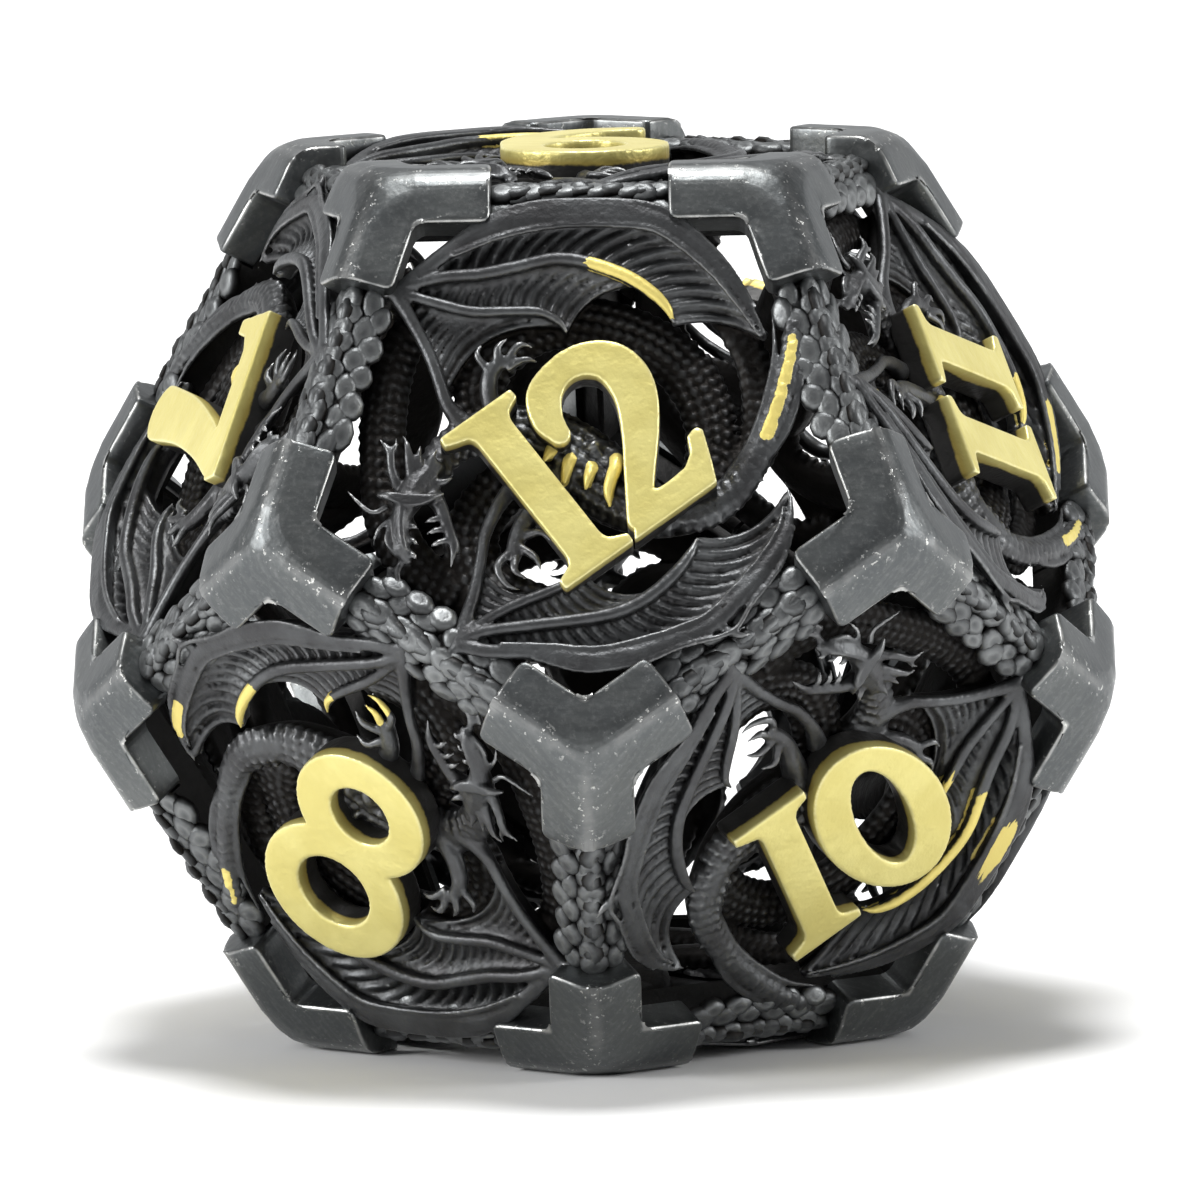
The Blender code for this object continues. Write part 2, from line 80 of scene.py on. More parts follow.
class Value:
    """A number that runs through a node tree, with Python's own operators."""

    def __init__(self, nodes: "Nodes", socket: bpy.types.NodeSocket) -> None:
        """Wrap one output socket of a tree."""
        self.nodes = nodes
        self.socket = socket

    def _math(self, operation: str, *terms: "Value | float") -> "Value":
        """Add one Math node that takes these terms."""
        node = self.nodes.add("ShaderNodeMath", {"operation": operation}, dict(enumerate(terms)))
        return Value(self.nodes, node.outputs[0])

    def __add__(self, other: "Value | float") -> "Value":
        """Sum."""
        return self._math("ADD", self, other)

    def __radd__(self, other: float) -> "Value":
        """Sum with a plain number first."""
        return self._math("ADD", other, self)

    def __sub__(self, other: "Value | float") -> "Value":
        """Difference."""
        return self._math("SUBTRACT", self, other)

    def __rsub__(self, other: float) -> "Value":
        """Difference from a plain number."""
        return self._math("SUBTRACT", other, self)

    def __mul__(self, other: "Value | float") -> "Value":
        """Product."""
        return self._math("MULTIPLY", self, other)

    def __rmul__(self, other: float) -> "Value":
        """Product with a plain number first."""
        return self._math("MULTIPLY", other, self)

    def __pow__(self, other: "Value | float") -> "Value":
        """Power."""
        return self._math("POWER", self, other)

    def clamped(self) -> "Value":
        """The value held between 0 and 1."""
        return self._math("MINIMUM", self._math("MAXIMUM", self, 0.0), 1.0)

    def step(self, low: float, high: float) -> "Value":
        """Rise smoothly from 0 at low to 1 at high.

        Args:
            low: Value below which the result is 0.
            high: Value above which the result is 1.

        Returns:
            The eased value.
        """
        node = self.nodes.add(
            "ShaderNodeMapRange",
            {"interpolation_type": "SMOOTHSTEP"},
            {"Value": self, "From Min": low, "From Max": high},
        )
        return Value(self.nodes, node.outputs["Result"])


class Nodes:
    """Adds nodes to one tree and links them."""

    def __init__(self, tree: bpy.types.NodeTree) -> None:
        """Work on this tree."""
        self.tree = tree

    def add(
        self,
        kind: str,
        settings: dict[str, object] | None = None,
        sockets: dict[str | int, object] | None = None,
    ) -> bpy.types.Node:
        """Add a node, with its settings first and its sockets after them.

        Args:
            kind: The node's type name.
            settings: Values of the node's own properties.
            sockets: Values, sockets or Values for its inputs, by name, identifier or index.

        Returns:
            The new node.
        """
        node = self.tree.nodes.new(kind)
        for name, value in (settings or {}).items():
            setattr(node, name, value)
        for key, value in (sockets or {}).items():
            self.feed(self.input_of(node, key), value)
        return node

    @staticmethod
    def input_of(node: bpy.types.Node, key: str | int) -> bpy.types.NodeSocket:
        """Find an input by index, identifier or name."""
        if isinstance(key, int):
            return node.inputs[key]
        return next((s for s in node.inputs if s.identifier == key), None) or node.inputs[key]

    def feed(self, socket: bpy.types.NodeSocket, value: object) -> None:
        """Link or set one input."""
        if isinstance(value, Value):
            value = value.socket
        if isinstance(value, bpy.types.NodeSocket):
            self.tree.links.new(value, socket)
        else:
            socket.default_value = value

    def value(
        self, kind: str, output: str | int, settings: dict | None = None, sockets: dict | None = None
    ) -> Value:
        """Add a node and wrap one of its outputs."""
        return Value(self, self.add(kind, settings, sockets).outputs[output])

    def attribute(self, name: str) -> Value:
        """Read a number stored on the mesh."""
        return self.value("ShaderNodeAttribute", "Fac", {"attribute_name": name})

    def noise(
        self, where: bpy.types.NodeSocket, scale: float, detail: float = 3.0, rough: float = 0.55
    ) -> Value:
        """Fractal noise, with this many features in a metre."""
        sockets = {"Vector": where, "Scale": scale, "Detail": detail, "Roughness": rough}
        return self.value("ShaderNodeTexNoise", "Fac", None, sockets)

    def stretched(self, where: bpy.types.NodeSocket, turn: Colour, scale: Colour) -> bpy.types.NodeSocket:
        """Turn and stretch coordinates."""
        sockets = {"Vector": where, "Rotation": turn, "Scale": scale}
        return self.add("ShaderNodeMapping", None, sockets).outputs["Vector"]

    def blend(self, share: Value, first: object, second: object) -> bpy.types.NodeSocket:
        """Mix two colours by a share."""
        sides = [(*side, 1.0) if isinstance(side, tuple) else side for side in (first, second)]
        sockets = {"Factor_Float": share, "A_Color": sides[0], "B_Color": sides[1]}
        return self.add("ShaderNodeMix", {"data_type": "RGBA"}, sockets).outputs[2]


# -------------------------------------------------------------------- finishes


@dataclass(frozen=True)
class Finish:
    """A metal finish: how it is coloured, worn and grained."""

    name: str
    base: Colour
    deep: Colour
    bright: Colour
    roughness: float
    grain: float = 1.0

    def material(self) -> bpy.types.Material:
        """Build the finish as a material."""
        made = bpy.data.materials.new(self.name)
        made.use_nodes = True
        made.diffuse_color = (*self.base, 1.0)
        made.node_tree.nodes.clear()
        nodes = Nodes(made.node_tree)
        shader = nodes.add("ShaderNodeBsdfPrincipled")
        nodes.add("ShaderNodeOutputMaterial", None, {"Surface": shader.outputs["BSDF"]})
        where = nodes.add("ShaderNodeTexCoord").outputs["Object"]
        self.dress(nodes, shader, where)
        return made

    def dress(self, nodes: Nodes, shader: bpy.types.Node, where: bpy.types.NodeSocket) -> None:
        """Wire the shader's colour, roughness and bump."""
        raise NotImplementedError

    def bump(self, nodes: Nodes, shader: bpy.types.Node, height: Value, depth: float) -> None:
        """Feed the shader's normal from a height, this many metres deep."""
        sockets = {"Height": height, "Distance": depth, "Strength": 1.0}
        node = nodes.add("ShaderNodeBump", None, sockets)
        nodes.feed(shader.inputs["Normal"], node.outputs["Normal"])


@dataclass(frozen=True)
class BracketMetal(Finish):
    """Satin gunmetal: patchy and finely scratched, worn to silver on its folds; its rims carry wear and a painted
    highlight.
    """

    def dress(self, nodes: Nodes, shader: bpy.types.Node, where: bpy.types.NodeSocket) -> None:
        """Wire patches, scratches, chips, worn folds, and wear plus a painted highlight along the rims."""
        fold = nodes.attribute("fold")
        rim = nodes.attribute("rim")
        patches = nodes.noise(where, 420.0, 4.0)
        cloud = nodes.noise(where, 1500.0, 3.0)
        sand = nodes.noise(where, 7600.0, 3.0, 0.65)
        hair = nodes.noise(nodes.stretched(where, (0.5, 0.9, 0.3), (1500.0, 12000.0, 1500.0)), 1.0, 2.0)
        chips = nodes.noise(where, 6200.0, 2.0, 0.7).step(0.61, 0.69)
        # Lighter folds and rims: worn metal on the folds; on the rims, wear plus a painted highlight.
        wear_and_highlight = (fold * (0.30 + cloud) + rim * (0.25 + cloud * 0.9)).clamped()
        speck = (chips * (fold * 1.2 + rim * 1.0 + patches.step(0.5, 0.75) * 0.22)).clamped()
        tone = nodes.blend(patches.step(0.35, 0.68), self.deep, self.base)
        tone = nodes.blend((hair - 0.45).clamped() * 0.30 + (sand - 0.5).clamped() * 0.55, tone, self.bright)
        tone = nodes.blend(wear_and_highlight.step(0.25, 1.10) * 0.55, tone, self.bright)
        # Painted highlight: a pale line along the flange rims, where the bevelled lips catch the light.
        tone = nodes.blend((rim * (0.2 + cloud)).step(0.35, 0.9) * 0.8, tone, (0.60, 0.60, 0.58))
        tone = nodes.blend(speck * 0.9, tone, (0.68, 0.68, 0.65))
        nodes.feed(shader.inputs["Base Color"], tone)
        rough = (self.roughness + cloud * 0.12 - wear_and_highlight * 0.10 + sand * 0.10).clamped()
        nodes.feed(shader.inputs["Roughness"], rough)
        shader.inputs["Metallic"].default_value = 1.0
        height = patches * 0.6 + cloud * 0.35 + (hair * 0.04 + sand * 0.16) * self.grain - speck * 0.25
        self.bump(nodes, shader, height, 0.03 * MM)


@dataclass(frozen=True)
class CastMetal(Finish):
    """Blackened cast metal: dark patina in its hollows with painted shade deeper down, its crests worn and lit by a
    painted highlight, with stray gold paint.
    """

    paint: Colour = (0.70, 0.58, 0.17)

    def dress(self, nodes: Nodes, shader: bpy.types.Node, where: bpy.types.NodeSocket) -> None:
        """Wire hollows, crests, casting grain and gold overspill."""
        crest = nodes.attribute("crest")
        hollow = nodes.attribute("hollow")
        gilt = nodes.attribute("gilt")
        patches = nodes.noise(where, 700.0, 4.0)
        grain = nodes.noise(where, 5200.0, 4.0, 0.65)
        pits = nodes.noise(where, 2600.0, 3.0)
        # Crests made lighter and flecked pale grey: partly wear on the raised relief, partly a painted highlight.
        crest_wear_and_highlight = (crest * (0.55 + patches * 0.9)).clamped()
        tone = nodes.blend(patches.step(0.3, 0.7), self.deep, self.base)
        # Near-black by the hollow value: dark patina in concave recesses, and painted shade where that value comes
        # from depth below the face.
        tone = nodes.blend((hollow * 1.15).clamped(), tone, (0.014, 0.0125, 0.0115))
        tone = nodes.blend(crest_wear_and_highlight.step(0.12, 0.85) * 0.85, tone, self.bright)
        tone = nodes.blend((crest * grain).step(0.40, 0.60) * 0.5, tone, (0.50, 0.51, 0.50))
        painted = (gilt * 1.5 - (1.0 - grain) * 0.75 - hollow * 0.25).step(0.12, 0.38)
        gold = nodes.blend(patches.step(0.35, 0.7), self.paint, tuple(1.15 * c for c in self.paint))
        # Painted shade: stray gold darkened towards brown in the hollows.
        gold = nodes.blend(hollow.step(0.2, 0.9) * 0.8, gold, (0.42, 0.25, 0.03))
        nodes.feed(shader.inputs["Base Color"], nodes.blend(painted, tone, gold))
        nodes.feed(shader.inputs["Metallic"], 0.92 - painted * 0.52)
        rough = self.roughness + grain * 0.18 - crest_wear_and_highlight * 0.12 + hollow * 0.12
        nodes.feed(shader.inputs["Roughness"], rough.clamped())
        self.bump(nodes, shader, grain * 0.45 * self.grain + pits * 0.5 + painted * 0.3, 0.035 * MM)


@dataclass(frozen=True)
class GoldPaint(Finish):
    """Pale gold paint brushed over raised metal, with a painted highlight on its rounded corners and painted shade
    down its walls.
    """

    def dress(self, nodes: Nodes, shader: bpy.types.Node, where: bpy.types.NodeSocket) -> None:
        """Wire brush streaks, a painted highlight on the corners and painted shade down the walls."""
        crest = nodes.attribute("crest")
        depth = nodes.attribute("depth")
        patches = nodes.noise(where, 520.0, 4.0)
        streaks = nodes.noise(nodes.stretched(where, (0.4, 0.7, 0.9), (700.0, 4200.0, 700.0)), 1.0, 3.0)
        grain = nodes.noise(where, 7000.0, 3.0, 0.6)
        dimples = nodes.noise(where, 1500.0, 3.0, 0.6)
        tone = nodes.blend((patches * 0.8 + streaks * 0.2).step(0.38, 0.66), self.deep, self.base)
        # Painted highlight: the rounded corners turn a paler, brighter gold.
        tone = nodes.blend(crest.step(0.10, 0.75) * 0.75, tone, self.bright)
        # Painted shade: the gold turns darker brown down the walls.
        tone = nodes.blend(depth.step(0.10, 0.34) * 0.75, tone, (0.40, 0.28, 0.05))
        bare = (depth + (grain - 0.5) * 0.08 + (patches - 0.5) * 0.35).step(0.28, 0.36)
        tone = nodes.blend(bare, tone, (0.030, 0.029, 0.028))
        chips = (crest * 0.55 + grain * 0.6 + patches * 0.25).step(0.94, 1.0)
        tone = nodes.blend(chips * 0.7, tone, (0.12, 0.11, 0.09))
        nodes.feed(shader.inputs["Base Color"], tone)
        nodes.feed(shader.inputs["Roughness"], (self.roughness + streaks * 0.10 - crest * 0.08).clamped())
        shader.inputs["Metallic"].default_value = 0.50
        height = streaks * 0.15 + grain * 0.22 * self.grain + dimples * 0.8 + patches * 0.6 - chips
        self.bump(nodes, shader, height, 0.05 * MM)


@dataclass(frozen=True)
class MattePaper(Finish):
    """Plain pale studio surface with a faint unevenness."""

    def dress(self, nodes: Nodes, shader: bpy.types.Node, where: bpy.types.NodeSocket) -> None:
        """Wire a faint mottle."""
        mottle = nodes.noise(where, 30.0, 2.0)
        nodes.feed(shader.inputs["Base Color"], nodes.blend(mottle, self.deep, self.base))
        shader.inputs["Roughness"].default_value = self.roughness
        shader.inputs["Specular IOR Level"].default_value = 0.1


BRACKET_METAL = BracketMetal(
    "satin_gunmetal", (0.128, 0.135, 0.135), (0.106, 0.113, 0.116), (0.42, 0.42, 0.41), 0.31
)
SCALE_METAL = CastMetal(
    "scaled_gunmetal", (0.135, 0.141, 0.143), (0.080, 0.083, 0.086), (0.30, 0.31, 0.31), 0.40
)
DRAGON_METAL = CastMetal(
    "dark_gunmetal", (0.105, 0.109, 0.112), (0.062, 0.062, 0.064), (0.32, 0.325, 0.325), 0.36
)
GOLD = GoldPaint("pale_gold", (0.74, 0.66, 0.245), (0.66, 0.575, 0.19), (0.92, 0.87, 0.50), 0.36)
PAPER = MattePaper("pale_paper", (0.90, 0.90, 0.90), (0.88, 0.88, 0.88), (1.0, 1.0, 1.0), 0.9)


# ------------------------------------------------------------------ die's frame


class Belt(Enum):
    """Where a face sits, with the upward lean of its outward direction."""

    TOP = 1.0
    UPPER = 1.0 / math.sqrt(5.0)
    LOWER = -1.0 / math.sqrt(5.0)
    BOTTOM = -1.0


class Reading(Enum):
    """How a number reads on its face: the angle its top points at, and its shift right and up."""

    TO_EDGE = (234.0, 0.0, -0.95)
    TO_CORNER = (126.0, -0.40, -0.50)


@dataclass(frozen=True)
class Face:
    """One face: its number, its heading, the corner its dragon looks at, and its lettering."""

    number: int
    belt: Belt
    azimuth: float
    head: tuple[int, float]
    reading: Reading = Reading.TO_EDGE
    gilding: tuple[tuple[str, float, float], ...] = ()  # a stroke and the part of it that caught paint


@dataclass(frozen=True)
class DieBody:
    """The regular twelve-sided body, in millimetres, standing on one face."""

    across_flats: float
    centre: Vector
    head_angle: float = 198.0

    @classmethod
    def from_box(cls, box: tuple[Vector, Vector]) -> "DieBody":
        """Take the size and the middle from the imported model's box."""
        low, high = (Vector(side) / MM for side in box)
        return cls(high.z - low.z, (low + high) / 2)

    @property
    def inradius(self) -> float:
        """From the centre to a face."""
        return self.across_flats / 2

    @property
    def edge(self) -> float:
        """Length of an edge."""
        return self.across_flats / math.sqrt(2.5 + 1.1 * math.sqrt(5.0))

    @property
    def corner_radius(self) -> float:
        """From the centre to a corner."""
        return self.edge * (1 + math.sqrt(5.0)) / 2 * math.sqrt(3.0) / 2

    def corner(self, ring: int, azimuth: float) -> Vector:
        """One of the twenty corners, seen from the centre. Rings 1 to 4 go up."""
        narrow = self.edge / (2 * math.sin(math.radians(36)))
        wide = narrow * (1 + math.sqrt(5.0)) / 2
        belt = math.sqrt(self.corner_radius**2 - wide**2)
        radius = narrow if ring in (1, 4) else wide
        height = {1: -self.inradius, 2: -belt, 3: belt, 4: self.inradius}[ring]
        turn = math.radians(azimuth)
        return Vector((radius * math.cos(turn), radius * math.sin(turn), height))

    def corners(self) -> list[Vector]:
        """All twenty corners, ring by ring."""
        return [
            self.corner(ring, (-90 if ring < 3 else -126) + 72 * step) for ring in (1, 2, 3, 4) for step in range(5)
        ]

    def normal(self, face: Face) -> Vector:
        """Outward direction of a face."""
        rise = face.belt.value
        run = math.sqrt(max(1 - rise**2, 0.0))
        turn = math.radians(face.azimuth)
        return Vector((run * math.cos(turn), run * math.sin(turn), rise))

    @staticmethod
    def axes(x_axis: Vector, z_axis: Vector, origin: Vector) -> Matrix:
        """Placement whose X and Z axes point the given ways."""
        turn = Matrix((x_axis, z_axis.cross(x_axis), z_axis)).transposed().to_4x4()
        return Matrix.Translation(origin) @ turn

    def face_place(self, face: Face) -> Matrix:
        """Placement of a face's own frame: Z outward, its head corner at the head angle."""
        normal = self.normal(face)
        head = self.corner(*face.head)
        towards = (head - normal * head.dot(normal)).normalized()
        x_axis = Matrix.Rotation(math.radians(-self.head_angle), 3, normal) @ towards
        return self.axes(x_axis, normal, self.centre + normal * self.inradius)

    def neighbours(self, point: Vector) -> list[Vector]:
        """The three corners next to one."""
        return [other for other in self.corners() if 0.5 < (other - point).length / self.edge < 1.2]

    def corner_place(self, point: Vector) -> Matrix:
        """Placement of a corner's own frame: Z outward, X over one of its edges."""
        z_axis = point.normalized()
        along = self.neighbours(point)[0] - point
        x_axis = (along - z_axis * along.dot(z_axis)).normalized()
        return self.axes(x_axis, z_axis, self.centre)


class CornerFrame:
    """Directions at one corner, in its own frame: Z outward, first edge over +X."""

    def __init__(self, body: DieBody) -> None:
        """Work out the edges, face normals and ridge directions."""
        self.tip = Vector((0, 0, body.corner_radius))
        self.shrink = 1 / body.inradius
        dip = body.edge / (2 * body.corner_radius)
        run = math.sqrt(1 - dip**2)
        turns = [math.radians(120 * arm) for arm in range(3)]
        self.edges = [Vector((run * math.cos(t), run * math.sin(t), -dip)) for t in turns]
        self.normals = [self.edges[a].cross(self.edges[(a + 1) % 3]).normalized() for a in range(3)]
        self.ridges = [(self.normals[a - 1] + self.normals[a]).normalized() for a in range(3)]
        self.ridge_drop = 1 / self.normals[0].dot(self.ridges[0])

    def apex(self, depth: float) -> Vector:
        """The corner of the body as it is this deep under the faces."""
        return self.tip * (1 - depth * self.shrink)

    def on_ridge(self, arm: int, along: float, depth: float) -> Vector:
        """A point over an edge, this far from the corner and this deep."""
        return self.tip + self.edges[arm] * along - self.ridges[arm] * (depth * self.ridge_drop)

    def on_flank(self, face: int, arm: int, along: float, width: float, depth: float) -> Vector:
        """A point on a face, a width in from one of its two edges."""
        inward = self.normals[face].cross(self.edges[arm]) * (1 if arm == face else -1)
        return self.tip + self.edges[arm] * along + inward * width - self.normals[face] * depth

    def inner_corner(self, face: int, width: float, depth: float) -> Vector:
        """Where a width in from both edges of a face meets."""
        reach = width / math.sin(math.radians(108))
        spread = (self.edges[face] + self.edges[(face + 1) % 3]) * reach
        return self.tip + spread - self.normals[face] * depth

    @staticmethod
    def sides(face: int) -> tuple[tuple[int, bool], tuple[int, bool]]:
        """The two edges that bound a face, and whether each winds forwards."""
        return ((face, True), ((face + 1) % 3, False))


# --------------------------------------------------------------- drawing shapes


def smooth_path(knots: Sequence[Sequence[float]], step: float) -> np.ndarray:
    """Run a smooth curve through knots.

    Args:
        knots: Rows of numbers, of which the first two or three are a place.
        step: About how far apart the new points are.

    Returns:
        One row for each point, with every column eased alike.
    """
    rows = np.array(knots, float)
    padded = np.vstack([2 * rows[0] - rows[1], rows, 2 * rows[-1] - rows[-2]])
    found = []
    for before, start, stop, after in zip(padded, padded[1:], padded[2:], padded[3:]):
        count = max(2, math.ceil(np.linalg.norm((stop - start)[:2]) / step))
        t = np.linspace(0, 1, count, endpoint=False)[:, None]
        found.append(
            0.5
            * (
                2 * start
                + (stop - before) * t
                + (2 * before - 5 * start + 4 * stop - after) * t**2
                + (3 * start - before - 3 * stop + after) * t**3
            )
        )
    return np.vstack([*found, rows[-1:]])


def along_path(path: np.ndarray, share: np.ndarray) -> np.ndarray:
    """Read a path at shares of its length."""
    lengths = np.linalg.norm(np.diff(path[:, :2], axis=0), axis=1)
    reach = np.concatenate([[0.0], np.cumsum(lengths)])
    return np.stack([np.interp(share * reach[-1], reach, column) for column in path.T], axis=1)


@dataclass
class Draft:
    """Points and faces of closed shapes being put together, in millimetres."""

    points: list[np.ndarray] = field(default_factory=list)
    faces: list[tuple[int, ...]] = field(default_factory=list)
    count: int = 0

    def take(self, points: np.ndarray, faces: Sequence[Sequence[int]]) -> None:
        """Add one shape."""
        self.points.append(np.asarray(points, float).reshape(-1, 3))
        self.faces.extend(tuple(int(i) + self.count for i in face) for face in faces)
        self.count += len(self.points[-1])

    def take_mesh(self, mesh: bpy.types.Mesh) -> None:
        """Add a mesh's faces."""
        points = np.zeros(len(mesh.vertices) * 3)
        mesh.vertices.foreach_get("co", points)
        self.take(points, [tuple(face.vertices) for face in mesh.polygons])

    def grid(self, rows: np.ndarray, close_round: bool) -> list[tuple[int, ...]]:
        """Quads between rows of points, numbered row by row."""
        count, width = rows.shape[:2]
        turns = width if close_round else width - 1
        return [
            (i * width + j, (i + 1) * width + j, (i + 1) * width + (j + 1) % width, i * width + (j + 1) % width)
            for i in range(count - 1)
            for j in range(turns)
        ]

    def tube(self, knots: Sequence[Knot], flat: float = 0.75, sides: int = 10, step: float = 0.12) -> None:
        """Add a tapering stroke with an oval section.

        Args:
            knots: Places and half widths along it.
            flat: Its height as a share of its width.
            sides: Points round its section.
            step: Spacing of its sections.
        """
        path = smooth_path(knots, step)
        centres, widths = path[:, :3], np.maximum(path[:, 3], 0.012)
        along = np.gradient(centres, axis=0)
        along /= np.linalg.norm(along, axis=1)[:, None]
        side = np.cross(along, (0.0, 0.0, 1.0))
        side /= np.maximum(np.linalg.norm(side, axis=1)[:, None], 1e-6)
        over = np.cross(side, along)
        turn = np.linspace(0, 2 * math.pi, sides, endpoint=False)
        out = np.cos(turn)[None, :, None] * side[:, None] + flat * np.sin(turn)[None, :, None] * over[:, None]
        rings = centres[:, None] + out * widths[:, None, None]
        faces = self.grid(rings, True)
        last = len(rings) * sides
        faces += [(last, i, (i + 1) % sides) for i in range(sides)]
        faces += [(last + 1, last - sides + (i + 1) % sides, last - sides + i) for i in range(sides)]
        self.take(np.vstack([rings.reshape(-1, 3), centres[:1], centres[-1:]]), faces)

    def slab(self, top: np.ndarray, thickness: float) -> None:
        """Add a sheet of this thickness under a grid of points."""
        count, width = top.shape[:2]
        under = top - np.array((0.0, 0.0, thickness))
        half = count * width
        upper = self.grid(top, False)
        faces = upper + [tuple(i + half for i in reversed(face)) for face in upper]
        rim = (
            [i * width for i in range(count)]
            + [(count - 1) * width + j for j in range(1, width)]
            + [i * width + width - 1 for i in range(count - 2, -1, -1)]
            + [j for j in range(width - 2, 0, -1)]
        )
        faces += [(b, a, a + half, b + half) for a, b in zip(rim, rim[1:] + rim[:1])]
        self.take(np.vstack([top.reshape(-1, 3), under.reshape(-1, 3)]), faces)

    def prism(self, outline: Sequence[Point], low: float, high: float) -> None:
        """Add a plain outline raised between two heights."""
        count = len(outline)
        points = [(x, y, z) for z in (low, high) for x, y in outline]
        faces = [tuple(range(count))[::-1], tuple(range(count, 2 * count))]
        faces += [(i, (i + 1) % count, count + (i + 1) % count, count + i) for i in range(count)]
        self.take(points, faces)

    def ring_prism(self, outer: np.ndarray, inner: np.ndarray, low: float, high: float) -> None:
        """Add the band between two outlines that have as many points."""
        loops = [(outer, low), (outer, high), (inner, high), (inner, low), (outer, low)]
        rings = np.array([[(x, y, z) for x, y in loop] for loop, z in loops[:4]])
        count = rings.shape[1]
        faces = self.grid(rings, True)
        faces += [(3 * count + i, i, (i + 1) % count, 3 * count + (i + 1) % count) for i in range(count)]
        self.take(rings, faces)

    def to_mesh(self, name: str) -> bpy.types.Mesh:
        """Make a mesh whose faces point outwards."""
        mesh = bpy.data.meshes.new(name)
        mesh.from_pydata(np.vstack(self.points), [], self.faces)
        bm = bmesh.new()
        bm.from_mesh(mesh)
        bmesh.ops.recalc_face_normals(bm, faces=bm.faces)
        bm.to_mesh(mesh)
        bm.free()
        return mesh


def evaluated(mesh: bpy.types.Mesh, dress: Callable[[bpy.types.Object], None]) -> bpy.types.Mesh:
    """Run modifiers on a mesh and keep the result.

    Args:
        mesh: The mesh to start from.
        dress: Adds the modifiers to a passing object.

    Returns:
        A new plain mesh.
    """
    passing = bpy.data.objects.new("passing", mesh)
    bpy.context.scene.collection.objects.link(passing)
    dress(passing)
    graph = bpy.context.evaluated_depsgraph_get()
    result = bpy.data.meshes.new_from_object(passing.evaluated_get(graph), depsgraph=graph)
    bpy.data.objects.remove(passing, do_unlink=True)
    return result


@dataclass(frozen=True)
class Casting:
    """Fuses overlapping shapes into one skin, as poured metal would."""

    cell: float
    softness: int
    kept: float

    def fuse(self, draft: Draft, name: str) -> bpy.types.Mesh:
        """Fuse a draft's shapes.

        Args:
            draft: The overlapping closed shapes.
            name: Name of the new mesh.

        Returns:
            One closed mesh.
        """

        def dress(passing: bpy.types.Object) -> None:
            """Add the remesh, the softening and the thinning."""
            remesh = passing.modifiers.new("Fuse", "REMESH")
            remesh.mode = "VOXEL"
            remesh.voxel_size = self.cell
            soften = passing.modifiers.new("Soften", "SMOOTH")
            soften.factor = 0.5
            soften.iterations = self.softness
            thin = passing.modifiers.new("Thin", "DECIMATE")
            thin.ratio = self.kept

        mesh = evaluated(draft.to_mesh(name), dress)
        mesh.name = name
        return mesh


def store(mesh: bpy.types.Mesh, name: str, values: np.ndarray) -> None:
    """Keep one number for each point of a mesh."""
    kept = mesh.attributes.new(name, "FLOAT", "POINT")
    kept.data.foreach_set("value", np.ascontiguousarray(values, np.float32))


def points_of(mesh: bpy.types.Mesh) -> np.ndarray:
    """All of a mesh's points."""
    found = np.zeros(len(mesh.vertices) * 3)
    mesh.vertices.foreach_get("co", found)
    return found.reshape(-1, 3)


def normals_of(mesh: bpy.types.Mesh) -> np.ndarray:
    """The outward direction at each of a mesh's points."""
    found = np.zeros(len(mesh.vertices) * 3)
    mesh.vertices.foreach_get("normal", found)
    return found.reshape(-1, 3)


def bulge(mesh: bpy.types.Mesh, rounds: int) -> np.ndarray:
    """How far each point stands out of its neighbours, positive on a crest.

    Args:
        mesh: A mesh of small even faces.
        rounds: How often the result is averaged with its neighbours.

    Returns:
        One number for each point, about -1 to 1.
    """
    points, normals = points_of(mesh), normals_of(mesh)
    ends = np.zeros(len(mesh.edges) * 2, int)
    mesh.edges.foreach_get("vertices", ends)
    a, b = ends.reshape(-1, 2).T
    reach = points[b] - points[a]
    length = np.maximum(np.linalg.norm(reach, axis=1), 1e-9)
    count = np.maximum(np.bincount(a, minlength=len(points)) + np.bincount(b, minlength=len(points)), 1)

    def spread(at_a: np.ndarray, at_b: np.ndarray) -> np.ndarray:
        """Average over each point's edges."""
        total = np.bincount(a, at_a, len(points)) + np.bincount(b, at_b, len(points))
        return total / count

    fall_a = -(reach * normals[a]).sum(1) / length
    fall_b = (reach * normals[b]).sum(1) / length
    found = spread(fall_a, fall_b)
    for _ in range(rounds):
        found = 0.5 * found + 0.5 * spread(found[b], found[a])
    return found


# ------------------------------------------------------- repeats along a path


